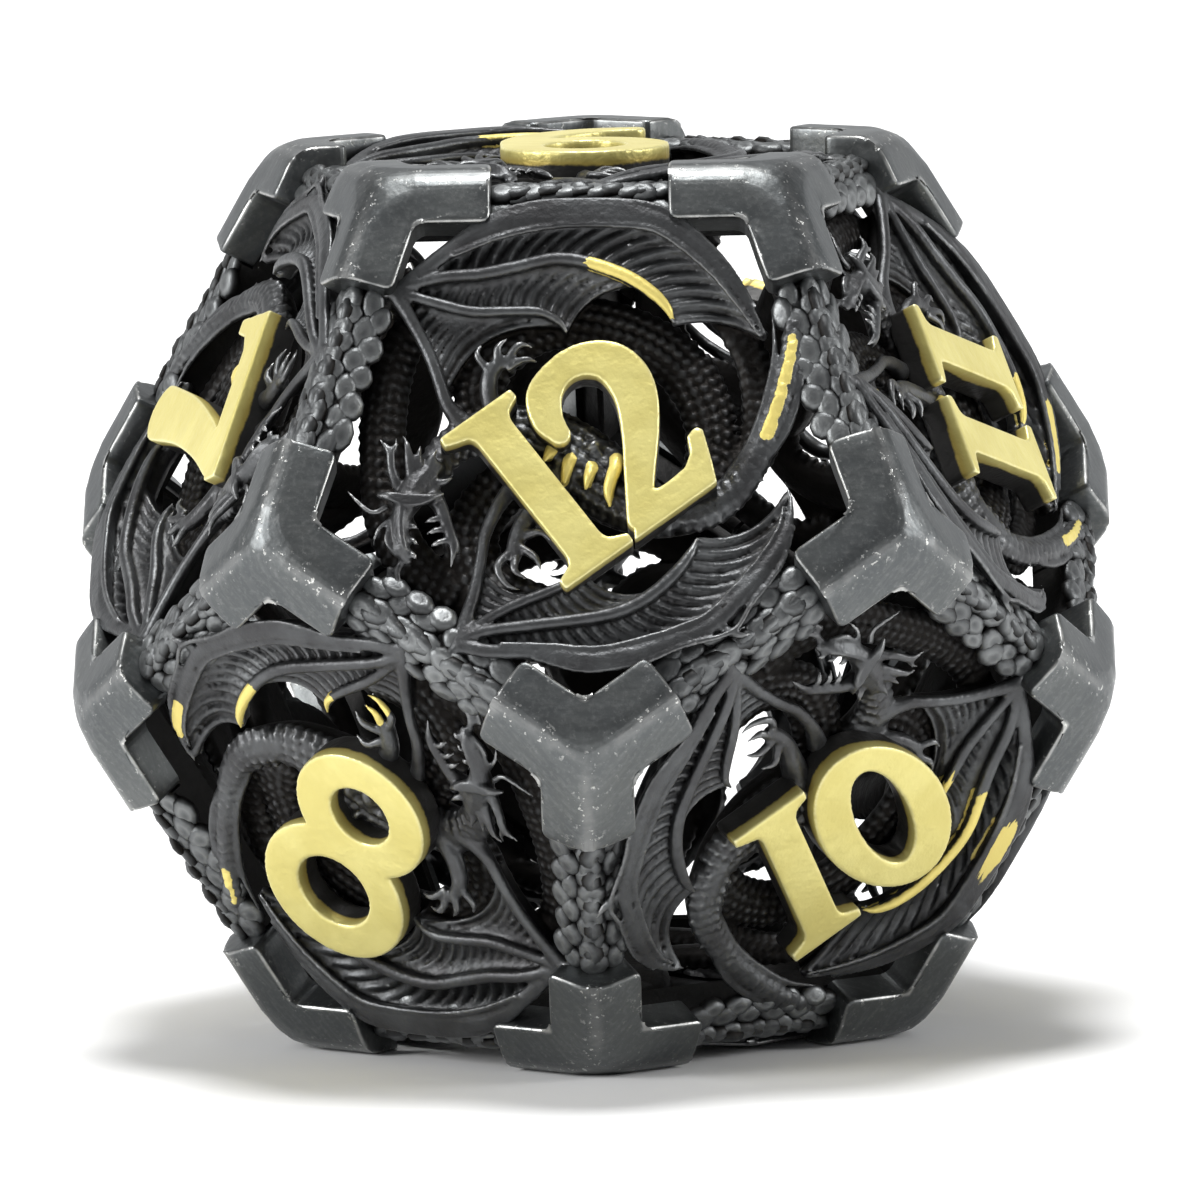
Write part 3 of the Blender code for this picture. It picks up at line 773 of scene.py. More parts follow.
class NodeRecipe:
    """A Geometry Nodes tree with named inputs, run once on a mesh."""

    def __init__(self, name: str, inputs: dict[str, tuple[str, object]]) -> None:
        """Open a tree.

        Args:
            name: The tree's name.
            inputs: Socket type and usual value of each named input.
        """
        self.tree = bpy.data.node_groups.new(name, "GeometryNodeTree")
        self.nodes = Nodes(self.tree)
        face = self.tree.interface
        face.new_socket("Geometry", in_out="INPUT", socket_type="NodeSocketGeometry")
        face.new_socket("Geometry", in_out="OUTPUT", socket_type="NodeSocketGeometry")
        for label, (kind, usual) in inputs.items():
            socket = face.new_socket(label, in_out="INPUT", socket_type=kind)
            if usual is not None:
                socket.default_value = usual
        self.source = self.nodes.add("NodeGroupInput")

    def given(self, label: str) -> Value:
        """The number that an input gives."""
        return Value(self.nodes, self.source.outputs[label])

    def close(self, geometry: bpy.types.NodeSocket) -> None:
        """End the tree with real geometry that carries its material."""
        real = self.nodes.add("GeometryNodeRealizeInstances", None, {"Geometry": geometry})
        sockets = {"Geometry": real.outputs["Geometry"], "Material": self.source.outputs["Material"]}
        dressed = self.nodes.add("GeometryNodeSetMaterial", None, sockets)
        self.nodes.add("NodeGroupOutput", None, {0: dressed.outputs["Geometry"]})

    def run(self, mesh: bpy.types.Mesh, values: dict[str, object]) -> bpy.types.Mesh:
        """Run the tree on a mesh.

        Args:
            mesh: The guide lines that it works from.
            values: Values of its named inputs.

        Returns:
            A new plain mesh.
        """

        def dress(passing: bpy.types.Object) -> None:
            """Add the tree, with its inputs set by identifier."""
            modifier = passing.modifiers.new("Recipe", "NODES")
            modifier.node_group = self.tree
            for item in self.tree.interface.items_tree:
                if item.in_out == "INPUT" and item.name in values:
                    modifier[item.identifier] = values[item.name]

        return evaluated(mesh, dress)


class ScaleRows(NodeRecipe):
    """Lays overlapping scales along guide lines, each facing the line's own outward direction."""

    def __init__(self) -> None:
        """Build the tree."""
        super().__init__(
            "scale_rows",
            {
                "Scale Shape": ("NodeSocketObject", None),
                "Pitch": ("NodeSocketFloat", 0.45),
                "Length": ("NodeSocketFloat", 0.5),
                "Width": ("NodeSocketFloat", 0.4),
                "Height": ("NodeSocketFloat", 0.2),
                "Unevenness": ("NodeSocketFloat", 0.1),
                "Tilt": ("NodeSocketFloat", 0.15),
                "Seed": ("NodeSocketInt", 1),
                "Material": ("NodeSocketMaterial", None),
            },
        )
        nodes, given = self.nodes, self.given
        lines = nodes.add("GeometryNodeMeshToCurve", None, {"Mesh": self.source.outputs["Geometry"]})
        spaced = nodes.add(
            "GeometryNodeResampleCurve", {"mode": "LENGTH"}, {"Curve": lines.outputs[0], "Length": given("Pitch")}
        )
        outward = nodes.add(
            "GeometryNodeInputNamedAttribute", {"data_type": "FLOAT_VECTOR"}, {"Name": "outward"}
        )
        tangent = nodes.add("GeometryNodeInputTangent")
        upright = nodes.add(
            "FunctionNodeAlignRotationToVector", {"axis": "Z"}, {"Vector": outward.outputs["Attribute"]}
        )
        aligned = nodes.add(
            "FunctionNodeAlignRotationToVector",
            {"axis": "X", "pivot_axis": "Z"},
            {"Rotation": upright.outputs[0], "Vector": tangent.outputs[0]},
        )
        wobble = self.uneven(3, -1.0, 1.0)
        lean = nodes.add("ShaderNodeCombineXYZ", None, {0: wobble * given("Unevenness"), 1: given("Tilt")})
        nodes.feed(lean.inputs[2], wobble * given("Unevenness") * 1.5)
        lean_turn = nodes.add("FunctionNodeEulerToRotation", None, {0: lean.outputs[0]})
        turned = nodes.add(
            "FunctionNodeRotateRotation",
            {"rotation_space": "LOCAL"},
            {"Rotation": aligned.outputs[0], "Rotate By": lean_turn.outputs[0]},
        )
        size = nodes.add(
            "ShaderNodeCombineXYZ",
            None,
            {
                0: given("Length") * self.uneven_share(0),
                1: given("Width") * self.uneven_share(1),
                2: given("Height") * self.uneven_share(2),
            },
        )
        shape = nodes.add("GeometryNodeObjectInfo", None, {"Object": self.source.outputs["Scale Shape"]})
        laid = nodes.add(
            "GeometryNodeInstanceOnPoints",
            None,
            {
                "Points": spaced.outputs["Curve"],
                "Instance": shape.outputs["Geometry"],
                "Rotation": turned.outputs[0],
                "Scale": size.outputs[0],
            },
        )
        self.close(laid.outputs["Instances"])

    def uneven(self, offset: int, low: float, high: float) -> Value:
        """A number drawn for each scale."""
        sockets = {"Min_001": low, "Max_001": high, "Seed": self.given("Seed") + float(offset)}
        return self.nodes.value("FunctionNodeRandomValue", 1, {"data_type": "FLOAT"}, sockets)

    def uneven_share(self, offset: int) -> Value:
        """A share near 1 drawn for each scale."""
        return 1.0 + self.uneven(offset, -1.0, 1.0) * self.given("Unevenness")


class RibFan(NodeRecipe):
    """Spans ribs from one guide line to another, bowed sideways and hanging in the middle."""

    def __init__(self) -> None:
        """Build the tree."""
        super().__init__(
            "rib_fan",
            {
                "Count": ("NodeSocketInt", 12),
                "Bow": ("NodeSocketFloat", 0.1),
                "Sag": ("NodeSocketFloat", 0.1),
                "Lift": ("NodeSocketFloat", 0.05),
                "Thickness": ("NodeSocketFloat", 0.06),
                "Spread": ("NodeSocketFloat", 1.0),
                "Material": ("NodeSocketMaterial", None),
            },
        )
        nodes, given = self.nodes, self.given
        tag = nodes.value("GeometryNodeInputNamedAttribute", 0, {"data_type": "FLOAT"}, {"Name": "far_side"})
        parted = nodes.add(
            "GeometryNodeSeparateGeometry",
            {"domain": "POINT"},
            {"Geometry": self.source.outputs["Geometry"], "Selection": tag},
        )
        guides = [
            nodes.add("GeometryNodeMeshToCurve", None, {"Mesh": parted.outputs[i]}).outputs[0] for i in (1, 0)
        ]
        line = nodes.add("GeometryNodeCurvePrimitiveLine")
        dotted = nodes.add(
            "GeometryNodeResampleCurve", {"mode": "COUNT"}, {"Curve": line.outputs[0], "Count": 9}
        )
        copies = nodes.add(
            "GeometryNodeDuplicateElements",
            {"domain": "SPLINE"},
            {"Geometry": dotted.outputs[0], "Amount": given("Count")},
        )
        index = Value(nodes, copies.outputs["Duplicate Index"])
        share = index * nodes.value(
            "ShaderNodeMath", 0, {"operation": "DIVIDE"}, {0: 1.0, 1: given("Count") - 1.0}
        )
        down = nodes.value("GeometryNodeSplineParameter", "Factor")
        near = self.sample(guides[0], share ** given("Spread"))
        far = self.sample(guides[1], share)
        straight = nodes.add(
            "ShaderNodeMix", {"data_type": "VECTOR"}, {"Factor_Float": down, "A_Vector": near, "B_Vector": far}
        )
        across = nodes.add("ShaderNodeVectorMath", {"operation": "SUBTRACT"}, {0: far, 1: near})
        sideways = nodes.add(
            "ShaderNodeVectorMath", {"operation": "CROSS_PRODUCT"}, {0: across.outputs[0], 1: (0.0, 0.0, 1.0)}
        )
        arch = down * (1.0 - down) * 4.0
        bowed = nodes.add(
            "ShaderNodeVectorMath", {"operation": "SCALE"}, {0: sideways.outputs[0], "Scale": arch * given("Bow")}
        )
        hung = nodes.add("ShaderNodeCombineXYZ", None, {2: given("Lift") - arch * given("Sag")})
        moved = straight.outputs[1]
        for extra in (bowed.outputs[0], hung.outputs[0]):
            moved = nodes.add("ShaderNodeVectorMath", {"operation": "ADD"}, {0: moved, 1: extra}).outputs[0]
        placed = nodes.add(
            "GeometryNodeSetPosition", None, {"Geometry": copies.outputs[0], "Position": moved}
        )
        round_bar = nodes.add("GeometryNodeCurvePrimitiveCircle", None, {"Resolution": 6, "Radius": 1.0})
        bars = nodes.add(
            "GeometryNodeCurveToMesh",
            None,
            {
                "Curve": placed.outputs[0],
                "Profile Curve": round_bar.outputs[0],
                "Scale": given("Thickness") * (1.15 - down * 0.35),
                "Fill Caps": True,
            },
        )
        self.close(bars.outputs[0])

    def sample(self, guide: bpy.types.NodeSocket, share: Value) -> bpy.types.NodeSocket:
        """The place at a share of a guide line's length."""
        sockets = {"Curves": guide, "Factor": share}
        return self.nodes.add("GeometryNodeSampleCurve", {"mode": "FACTOR"}, sockets).outputs["Position"]


def guide_mesh(
    lines: Sequence[np.ndarray], name: str, attribute: str, values: Sequence[object]
) -> bpy.types.Mesh:
    """Make a mesh of open lines, with one stored value for each line.

    Args:
        lines: Places along each line.
        name: Name of the mesh.
        attribute: Name of what is stored.
        values: A number or a direction for each line.

    Returns:
        The mesh.
    """
    mesh = bpy.data.meshes.new(name)
    ends, start = [], 0
    for line in lines:
        ends += [(start + i, start + i + 1) for i in range(len(line) - 1)]
        start += len(line)
    mesh.from_pydata(np.vstack([line[:, :3] for line in lines]), ends, [])
    spread = np.repeat(np.array(values, np.float32), [len(line) for line in lines], axis=0)
    if spread.ndim == 1:
        mesh.attributes.new(attribute, "FLOAT", "POINT").data.foreach_set("value", spread)
    else:
        mesh.attributes.new(attribute, "FLOAT_VECTOR", "POINT").data.foreach_set("vector", spread.ravel())
    return mesh


# ------------------------------------------------------------- pieces in place


def set_piece(
    name: str, mesh: bpy.types.Mesh, place: Matrix, material: bpy.types.Material
) -> bpy.types.Object:
    """Put a mesh drawn in millimetres at its place on the die.

    Args:
        name: Name of the new piece.
        mesh: Its mesh, in its own frame.
        place: Where that frame is, in millimetres.
        material: Its finish.

    Returns:
        An object at the origin whose mesh holds the place.
    """
    mesh = mesh.copy()
    mesh.name = name
    mesh.transform(Matrix.Scale(MM, 4) @ place)
    mesh.materials.clear()
    mesh.materials.append(material)
    piece = bpy.data.objects.new(name, mesh)
    bpy.context.scene.collection.objects.link(piece)
    return piece


def report(piece: bpy.types.Object) -> None:
    """Say in the log how big a finished piece is."""
    size = ", ".join(f"{side / MM:.1f}" for side in piece.dimensions)
    log.info("%s: %d faces, %s mm", piece.name, len(piece.data.polygons), size)


@dataclass
class CornerBrackets:
    """Twenty plates, each folded over one corner with three chevron flanges."""

    body: DieBody
    arm: float = 2.80
    flange: float = 1.36
    plate: float = 0.95
    fold_round: float = 0.52
    rim_round: float = 0.10
    nook_round: float = 0.22
    dents: float = 0.016

    def blank(self) -> bmesh.types.BMesh:
        """The sharp folded plate."""
        frame_here = CornerFrame(self.body)
        bm = bmesh.new()
        for face in range(3):
            for arm, forwards in CornerFrame.sides(face):
                rims = [
                    (
                        frame_here.apex(depth),
                        frame_here.on_ridge(arm, self.arm, depth),
                        frame_here.on_flank(face, arm, self.arm, self.flange, depth),
                        frame_here.inner_corner(face, self.flange, depth),
                    )
                    for depth in (0.0, self.plate)
                ]
                outer, inner = rims
                for points, ahead in (
                    (outer, forwards),
                    (inner, not forwards),
                    ((outer[1], inner[1], inner[2], outer[2]), forwards),
                    ((outer[2], inner[2], inner[3], outer[3]), forwards),
                ):
                    bm.faces.new([bm.verts.new(p) for p in (points if ahead else points[::-1])])
        bmesh.ops.remove_doubles(bm, verts=bm.verts, dist=0.001)
        bmesh.ops.recalc_face_normals(bm, faces=bm.faces)
        return bm

    def mesh(self) -> bpy.types.Mesh:
        """The finished plate: rounded folds, softened rims and a slightly uneven cast surface."""
        bm = self.blank()
        frame_here = CornerFrame(self.body)
        tip = max(bm.verts, key=lambda vert: vert.co.z)
        folds = [(frame_here.tip.copy(), frame_here.on_ridge(arm, self.arm, 0.0)) for arm in range(3)]
        rims = []
        for face in range(3):
            nook = frame_here.inner_corner(face, self.flange, 0.0)
            for arm, _ in CornerFrame.sides(face):
                end = frame_here.on_flank(face, arm, self.arm, self.flange, 0.0)
                rims += [(nook, end), (end, frame_here.on_ridge(arm, self.arm, 0.0))]

        def through(edge: bmesh.types.BMEdge) -> bool:
            """Whether an edge runs through the plate at a flange's corner."""
            a, b = (vert.co for vert in edge.verts)
            return (a - b).length < self.plate * 1.3 and not any(
                self.from_line(v, *fold) < 1e-3 for fold in folds for v in (a, b)
            )

        corners = [edge for edge in bm.edges if through(edge) and abs(self.depth(edge)) > 0.5 * self.plate]
        bmesh.ops.bevel(bm, geom=corners, offset=self.nook_round, segments=3, profile=0.5, affect="EDGES")
        tip = max(bm.verts, key=lambda vert: vert.co.z)
        bmesh.ops.bevel(
            bm, geom=list(tip.link_edges), offset=self.fold_round, segments=7, profile=0.5, affect="EDGES"
        )
        lips = [edge for edge in bm.edges if self.is_rim(edge, frame_here)]
        bmesh.ops.bevel(bm, geom=lips, offset=self.rim_round, segments=3, profile=0.5, affect="EDGES")
        bmesh.ops.recalc_face_normals(bm, faces=bm.faces)
        mesh = bpy.data.meshes.new("corner_bracket")
        bm.to_mesh(mesh)
        bm.free()

        def dress(passing: bpy.types.Object) -> None:
            """Add plain subdivision."""
            finer = passing.modifiers.new("Finer", "SUBSURF")
            finer.subdivision_type = "SIMPLE"
            finer.levels = finer.render_levels = 2

        mesh = evaluated(mesh, dress)
        points, normals = points_of(mesh), normals_of(mesh)
        sway = np.array([noise.noise(Vector(p) * 0.9) + 0.5 * noise.noise(Vector(p) * 2.3) for p in points])
        points -= normals * (np.abs(sway) * self.dents)[:, None]
        mesh.vertices.foreach_set("co", points.ravel())
        fold = np.min([self.from_lines(points, *ends) for ends in folds], axis=0)
        rim = np.min([self.from_lines(points, *ends) for ends in rims], axis=0)
        store(mesh, "fold", np.exp(-((fold / 0.30) ** 2)))
        store(mesh, "rim", np.exp(-((rim / 0.11) ** 2)))
        mesh.shade_smooth()
        mesh.set_sharp_from_angle(angle=math.radians(35))
        return mesh

    def depth(self, edge: bmesh.types.BMEdge) -> float:
        """How much an edge's two ends differ in their distance from the die's centre."""
        return edge.verts[0].co.length - edge.verts[1].co.length

    def is_rim(self, edge: bmesh.types.BMEdge, frame_here: CornerFrame) -> bool:
        """Whether an edge bounds a flange's outer side."""
        if len(edge.link_faces) != 2:
            return False
        flat = [
            max(face.normal.dot(normal) for normal in frame_here.normals + frame_here.ridges) for face in edge.link_faces
        ]
        outside = max(
            max(vert.co.dot(normal) for normal in frame_here.normals) for vert in edge.verts
        ) > self.body.inradius - 0.02
        return outside and min(flat) < 0.6 < max(flat) and edge.calc_face_angle(0.0) > 0.6

    @staticmethod
    def from_line(point: Vector, start: Vector, stop: Vector) -> float:
        """Distance of a point from a line between two ends."""
        along = stop - start
        share = min(max((point - start).dot(along) / along.length_squared, 0.0), 1.0)
        return (point - start - along * share).length

    @staticmethod
    def from_lines(points: np.ndarray, start: Vector, stop: Vector) -> np.ndarray:
        """Distance of many points from a line between two ends."""
        a, along = np.array(start), np.array(stop - start)
        share = ((points - a) @ along / (along @ along)).clip(0, 1)
        return np.linalg.norm(points - a - share[:, None] * along, axis=1)

    def build(self) -> Iterator[bpy.types.Object]:
        """Make all twenty and set them on the die."""
        mesh = self.mesh()
        finish = BRACKET_METAL.material()
        for count, point in enumerate(self.body.corners(), start=1):
            piece = set_piece(f"bracket_{count:02d}", mesh, self.body.corner_place(point), finish)
            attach(piece, "root")
            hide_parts(f"corner_bracket_{count:02d}")
            yield piece


@dataclass
class ScaledFrame:
    """The cage in two halves: edge bars under a skin of overlapping scales."""

    body: DieBody
    arm: float = 2.86
    width: float = 1.18
    recess: float = 0.62
    hub_depth: float = 1.01
    inner_depth: float = 1.76
    seam: float = 0.10
    pitch: float = 0.70
    rows: tuple[float, ...] = (0.0, 0.48, 0.95, 1.22)
    length: float = 0.84
    breadth: float = 0.66
    height: float = 0.31

    def bars(self, corners: Sequence[Vector], draft: Draft) -> None:
        """Add the plain metal round each corner, out to the middles of its edges."""
        here = CornerFrame(self.body)
        for point in corners:
            place = self.body.corner_place(point)
            points, faces = [], []

            def patch(shape: Sequence[Vector], forwards: bool) -> None:
                """Add one flat face."""
                faces.append(tuple(range(len(points), len(points) + len(shape))))
                points.extend(place @ p for p in (shape if forwards else shape[::-1]))

            for face in range(3):
                for arm, forwards in CornerFrame.sides(face):
                    mid = place @ here.on_ridge(arm, self.body.edge / 2, 0.0)
                    free = abs(mid.z - self.body.centre.z) < 0.1
                    stop = self.body.edge / 2 - (self.seam / 2 if free else 0.0)
                    spots = (
                        ("low", self.arm, self.hub_depth),
                        ("high", self.arm, self.recess),
                        ("foot", self.arm, self.inner_depth),
                        ("end", stop, self.recess),
                        ("under", stop, self.inner_depth),
                    )
                    ridge = {key: here.on_ridge(arm, along, depth) for key, along, depth in spots}
                    flank = {key: here.on_flank(face, arm, along, self.width, depth) for key, along, depth in spots}
                    hub, hub_under = here.apex(self.hub_depth), here.apex(self.inner_depth)
                    nook = here.inner_corner(face, self.width, self.hub_depth)
                    nook_under = here.inner_corner(face, self.width, self.inner_depth)
                    patch((hub, ridge["low"], flank["low"], nook), forwards)
                    patch((ridge["low"], ridge["high"], flank["high"], flank["low"]), forwards)
                    patch((ridge["high"], ridge["end"], flank["end"], flank["high"]), forwards)
                    patch((nook, flank["low"], flank["foot"], nook_under), forwards)
                    patch(
                        (flank["low"], flank["high"], flank["end"], flank["under"], flank["foot"]), forwards
                    )
                    patch((hub_under, nook_under, flank["foot"], flank["under"], ridge["under"]), forwards)
                    if free:
                        patch((ridge["end"], ridge["under"], flank["under"], flank["end"]), forwards)
            draft.take(np.array(points), faces)

    def scale_shape(self) -> bpy.types.Object:
        """One scale: a low dome, blunt at one end and narrower at the other."""
        rings = ((1.0, -0.30), (0.97, 0.16), (0.80, 0.40), (0.46, 0.50))
        sides = 10
        points, crown = [], []
        for reach, high in rings:
            for i in range(sides):
                turn = 2 * math.pi * i / sides
                x, y = math.cos(turn), math.sin(turn)
                narrow = 1.0 - 0.28 * max(x, 0.0) ** 2
                points.append((0.5 * reach * x, 0.5 * reach * y * narrow, high))
                crown.append(high / 0.5)
        points.append((-0.06, 0.0, 0.43))
        crown.append(0.7)
        faces = [
            (r * sides + i, r * sides + (i + 1) % sides, (r + 1) * sides + (i + 1) % sides, (r + 1) * sides + i)
            for r in range(len(rings) - 1)
            for i in range(sides)
        ]
        last = (len(rings) - 1) * sides
        faces += [(last + i, last + (i + 1) % sides, last + sides) for i in range(sides)]
        faces.append(tuple(range(sides))[::-1])
        mesh = bpy.data.meshes.new("scale_shape")
        mesh.from_pydata(points, [], faces)
        crown = np.array(crown)
        # Each scale's top takes the crest value (wear and painted highlight), and its low base ring takes the hollow
        # value (painted shade where scales overlap).
        store(mesh, "crest", (crown.clip(0, 1) ** 3) * 0.5)
        store(mesh, "hollow", (1 - crown * 1.6).clip(0, 1))
        store(mesh, "gilt", np.zeros(len(points)))
        mesh.shade_smooth()
        shape = bpy.data.objects.new("scale_shape", mesh)
        bpy.context.scene.collection.objects.link(shape)
        return shape

    def guides(self, upper: bool) -> tuple[list[np.ndarray], list[Vector]]:
        """Lines for the rows of scales on one half's bars.

        Args:
            upper: Which half of the cage.

        Returns:
            The lines, and the outward direction of each.
        """
        lines, outward = [], []
        here = CornerFrame(self.body)
        corners = self.body.corners()
        done = set()
        for point in corners:
            place = self.body.corner_place(point)
            turn = place.to_3x3()
            for arm in range(3):
                mid = place @ here.on_ridge(arm, self.body.edge / 2, 0.0)
                level = mid.z - self.body.centre.z
                across_seam = abs(level) < 0.1
                key = tuple(round(c, 2) for c in mid)
                if (point.z > 0) != upper or (key in done and not across_seam):
                    continue
                done.add(key)
                for face, side in ((arm, 1), ((arm - 1) % 3, -1)):
                    for row, reach in enumerate(self.rows):
                        if row == 0 and side < 0:
                            continue
                        odd = row % 2 == 1
                        first = self.arm + (0.22 if not odd else 0.22 + self.pitch / 2)
                        half = self.body.edge / 2
                        if across_seam:
                            steps = math.floor((half - first + (0.01 if upper else -0.2)) / self.pitch)
                            last = first + steps * self.pitch
                        else:
                            last = self.body.edge - first
                        depth = self.recess + 0.02
                        if row == 0:
                            ends = [here.on_ridge(arm, along, depth + 0.03) for along in (first, last)]
                            out = here.ridges[arm]
                        else:
                            ends = [here.on_flank(face, arm, along, reach, depth) for along in (first, last)]
                            out = here.normals[face]
                        if row == len(self.rows) - 1:
                            inward = here.normals[face].cross(here.edges[arm]) * (1 if arm == face else -1)
                            out = (out + inward * 0.35).normalized()
                        lines.append(np.array([place @ end for end in ends]))
                        outward.append(turn @ out)
        return lines, outward

    def build(self) -> Iterator[bpy.types.Object]:
        """Make both halves and set them in the die."""
        recipe = ScaleRows()
        shape = self.scale_shape()
        finish = SCALE_METAL.material()
        for name, upper in (("upper", True), ("lower", False)):
            draft = Draft()
            self.bars([point for point in self.body.corners() if (point.z > 0) == upper], draft)
            bars = self.welded(draft.to_mesh("bars"))
            # Painted shade: a hollow value of 0.75 keeps the bars under the scales near-black.
            for attribute, value in (("crest", 0.0), ("hollow", 0.75), ("gilt", 0.0)):
                store(bars, attribute, np.full(len(bars.vertices), value))
            lines, outward = self.guides(upper)
            scales = recipe.run(
                guide_mesh(lines, "scale_lines", "outward", [tuple(v) for v in outward]),
                {
                    "Scale Shape": shape,
                    "Pitch": self.pitch - 0.004,
                    "Length": self.length,
                    "Width": self.breadth,
                    "Height": self.height,
                    "Unevenness": 0.17,
                    "Tilt": -0.13,
                    "Seed": 11 if upper else 12,
                    "Material": finish,
                },
            )
            piece = self.joined(f"scale_cage_{name}", (bars, scales), finish)
            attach(piece, "root")
            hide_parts(f"{name}_frame")
            yield piece
        bpy.data.objects.remove(shape, do_unlink=True)

    @staticmethod
    def welded(mesh: bpy.types.Mesh) -> bpy.types.Mesh:
        """Join the bars where they meet at the middles of edges."""
        bm = bmesh.new()
        bm.from_mesh(mesh)
        bmesh.ops.remove_doubles(bm, verts=bm.verts, dist=0.002)
        bmesh.ops.recalc_face_normals(bm, faces=bm.faces)
        bm.to_mesh(mesh)
        bm.free()
        return mesh

    @staticmethod
    def joined(name: str, meshes: Sequence[bpy.types.Mesh], finish: bpy.types.Material) -> bpy.types.Object:
        """Make one piece of several meshes."""
        bm = bmesh.new()
        for mesh in meshes:
            bm.from_mesh(mesh)
        whole = bpy.data.meshes.new(name)
        bm.to_mesh(whole)
        bm.free()
        return set_piece(name, whole, Matrix.Identity(4), finish)


# --------------------------------------------------------------- dragon relief


@dataclass(frozen=True)
class Web:
    """The skin between two strokes of a wing, with its ribs."""

    near: int
    far: int
    near_span: Point
    far_span: Point
    ribs: int
    bow: float
    sag: float
    spread: float = 1.0
    rib: float = 0.095


@dataclass(frozen=True)
class Wing:
    """One wing: its strokes in order, from the leading edge to the arm, and the webs between them."""

    strokes: tuple[tuple[Knot, ...], ...]
    webs: tuple[Web, ...]
    skin: float = 0.30
    skin_drop: float = 0.16


WING_A = Wing(
    (
        (
            (-4.35, 3.98, -0.59, 0.17), (-3.7, 4.45, -0.45, 0.20), (-3.0, 4.93, -0.35, 0.23),
            (-2.1, 5.42, -0.27, 0.29), (-1.0, 5.64, -0.24, 0.35), (0.3, 5.68, -0.24, 0.36),
            (1.5, 5.58, -0.24, 0.33), (2.4, 5.15, -0.29, 0.26), (3.2, 4.42, -0.39, 0.20),
            (3.85, 3.62, -0.49, 0.14), (4.42, 2.62, -0.65, 0.05),
        ),
        (
            (-4.20, 4.02, -0.57, 0.13), (-3.3, 4.18, -0.41, 0.16), (-2.4, 4.22, -0.35, 0.17),
            (-1.5, 4.38, -0.31, 0.17), (-0.6, 4.55, -0.27, 0.17), (0.2, 4.42, -0.25, 0.17),
            (1.1, 4.05, -0.25, 0.18), (1.75, 3.60, -0.27, 0.16), (2.1, 3.20, -0.33, 0.11),
            (2.22, 2.86, -0.41, 0.03),
        ),
        (
            (-4.35, 3.88, -0.61, 0.13), (-3.4, 3.55, -0.55, 0.15), (-2.6, 3.32, -0.51, 0.15),
            (-1.8, 3.30, -0.49, 0.14), (-1.0, 3.28, -0.51, 0.13), (-0.5, 3.02, -0.57, 0.09),
            (-0.32, 2.72, -0.65, 0.03),
        ),
        (
            (-4.45, 3.88, -0.67, 0.22), (-4.05, 3.12, -0.65, 0.17), (-3.7, 2.40, -0.67, 0.16),
            (-3.45, 1.70, -0.71, 0.16), (-3.2, 1.00, -0.80, 0.19), (-2.7, 0.50, -0.95, 0.30),
            (-2.0, 0.20, -1.10, 0.42),
        ),
    ),
    (
        Web(0, 1, (0.10, 1.0), (0.06, 0.99), 18, 0.16, 0.26, 0.92, 0.125),
        Web(1, 2, (0.10, 0.80), (0.10, 0.97), 15, 0.20, 0.20, 1.1, 0.08),
        Web(2, 3, (0.08, 0.92), (0.10, 0.62), 9, 0.22, 0.14, 1.0, 0.07),
    ),
)

WING_B = Wing(
    (
        (
            (-3.10, -5.12, -0.55, 0.20), (-2.3, -5.34, -0.41, 0.19), (-1.3, -5.42, -0.33, 0.20),
            (-0.5, -5.58, -0.27, 0.25), (0.3, -5.70, -0.23, 0.29), (1.2, -5.55, -0.23, 0.28),
            (2.1, -5.22, -0.27, 0.23), (3.0, -4.84, -0.31, 0.22), (3.7, -4.12, -0.37, 0.24),
            (4.4, -3.25, -0.45, 0.20), (4.85, -2.40, -0.53, 0.14), (4.96, -1.70, -0.61, 0.08),
            (4.84, -1.10, -0.71, 0.03),
        ),
        (
            (-2.90, -4.96, -0.51, 0.14), (-2.2, -4.82, -0.41, 0.15), (-1.5, -4.76, -0.35, 0.16),
            (-0.6, -4.68, -0.31, 0.16), (0.3, -4.58, -0.29, 0.17), (1.0, -4.40, -0.27, 0.17),
            (1.65, -4.02, -0.27, 0.17), (2.2, -3.50, -0.27, 0.16), (2.56, -3.00, -0.31, 0.12),
            (2.74, -2.56, -0.39, 0.03),
        ),
        (
            (-2.85, -4.84, -0.55, 0.13), (-2.1, -4.40, -0.47, 0.14), (-1.5, -4.12, -0.43, 0.14),
            (-0.8, -3.86, -0.40, 0.13), (-0.32, -3.60, -0.40, 0.10), (-0.10, -3.18, -0.47, 0.03),
        ),
        (
            (-3.02, -5.25, -0.61, 0.24), (-2.86, -4.60, -0.61, 0.19), (-2.62, -3.80, -0.63, 0.16),
            (-2.46, -3.00, -0.65, 0.15), (-2.35, -2.30, -0.71, 0.16), (-2.0, -1.50, -0.81, 0.19),
            (-1.5, -0.80, -0.97, 0.28),
        ),
    ),
    (
        Web(0, 1, (0.08, 0.97), (0.06, 0.99), 20, -0.14, 0.26, 0.95, 0.12),
        Web(1, 2, (0.10, 0.74), (0.10, 0.97), 13, -0.16, 0.18, 1.1, 0.08),
        Web(2, 3, (0.08, 0.80), (0.10, 0.45), 7, -0.2, 0.12, 1.0, 0.07),
    ),
)

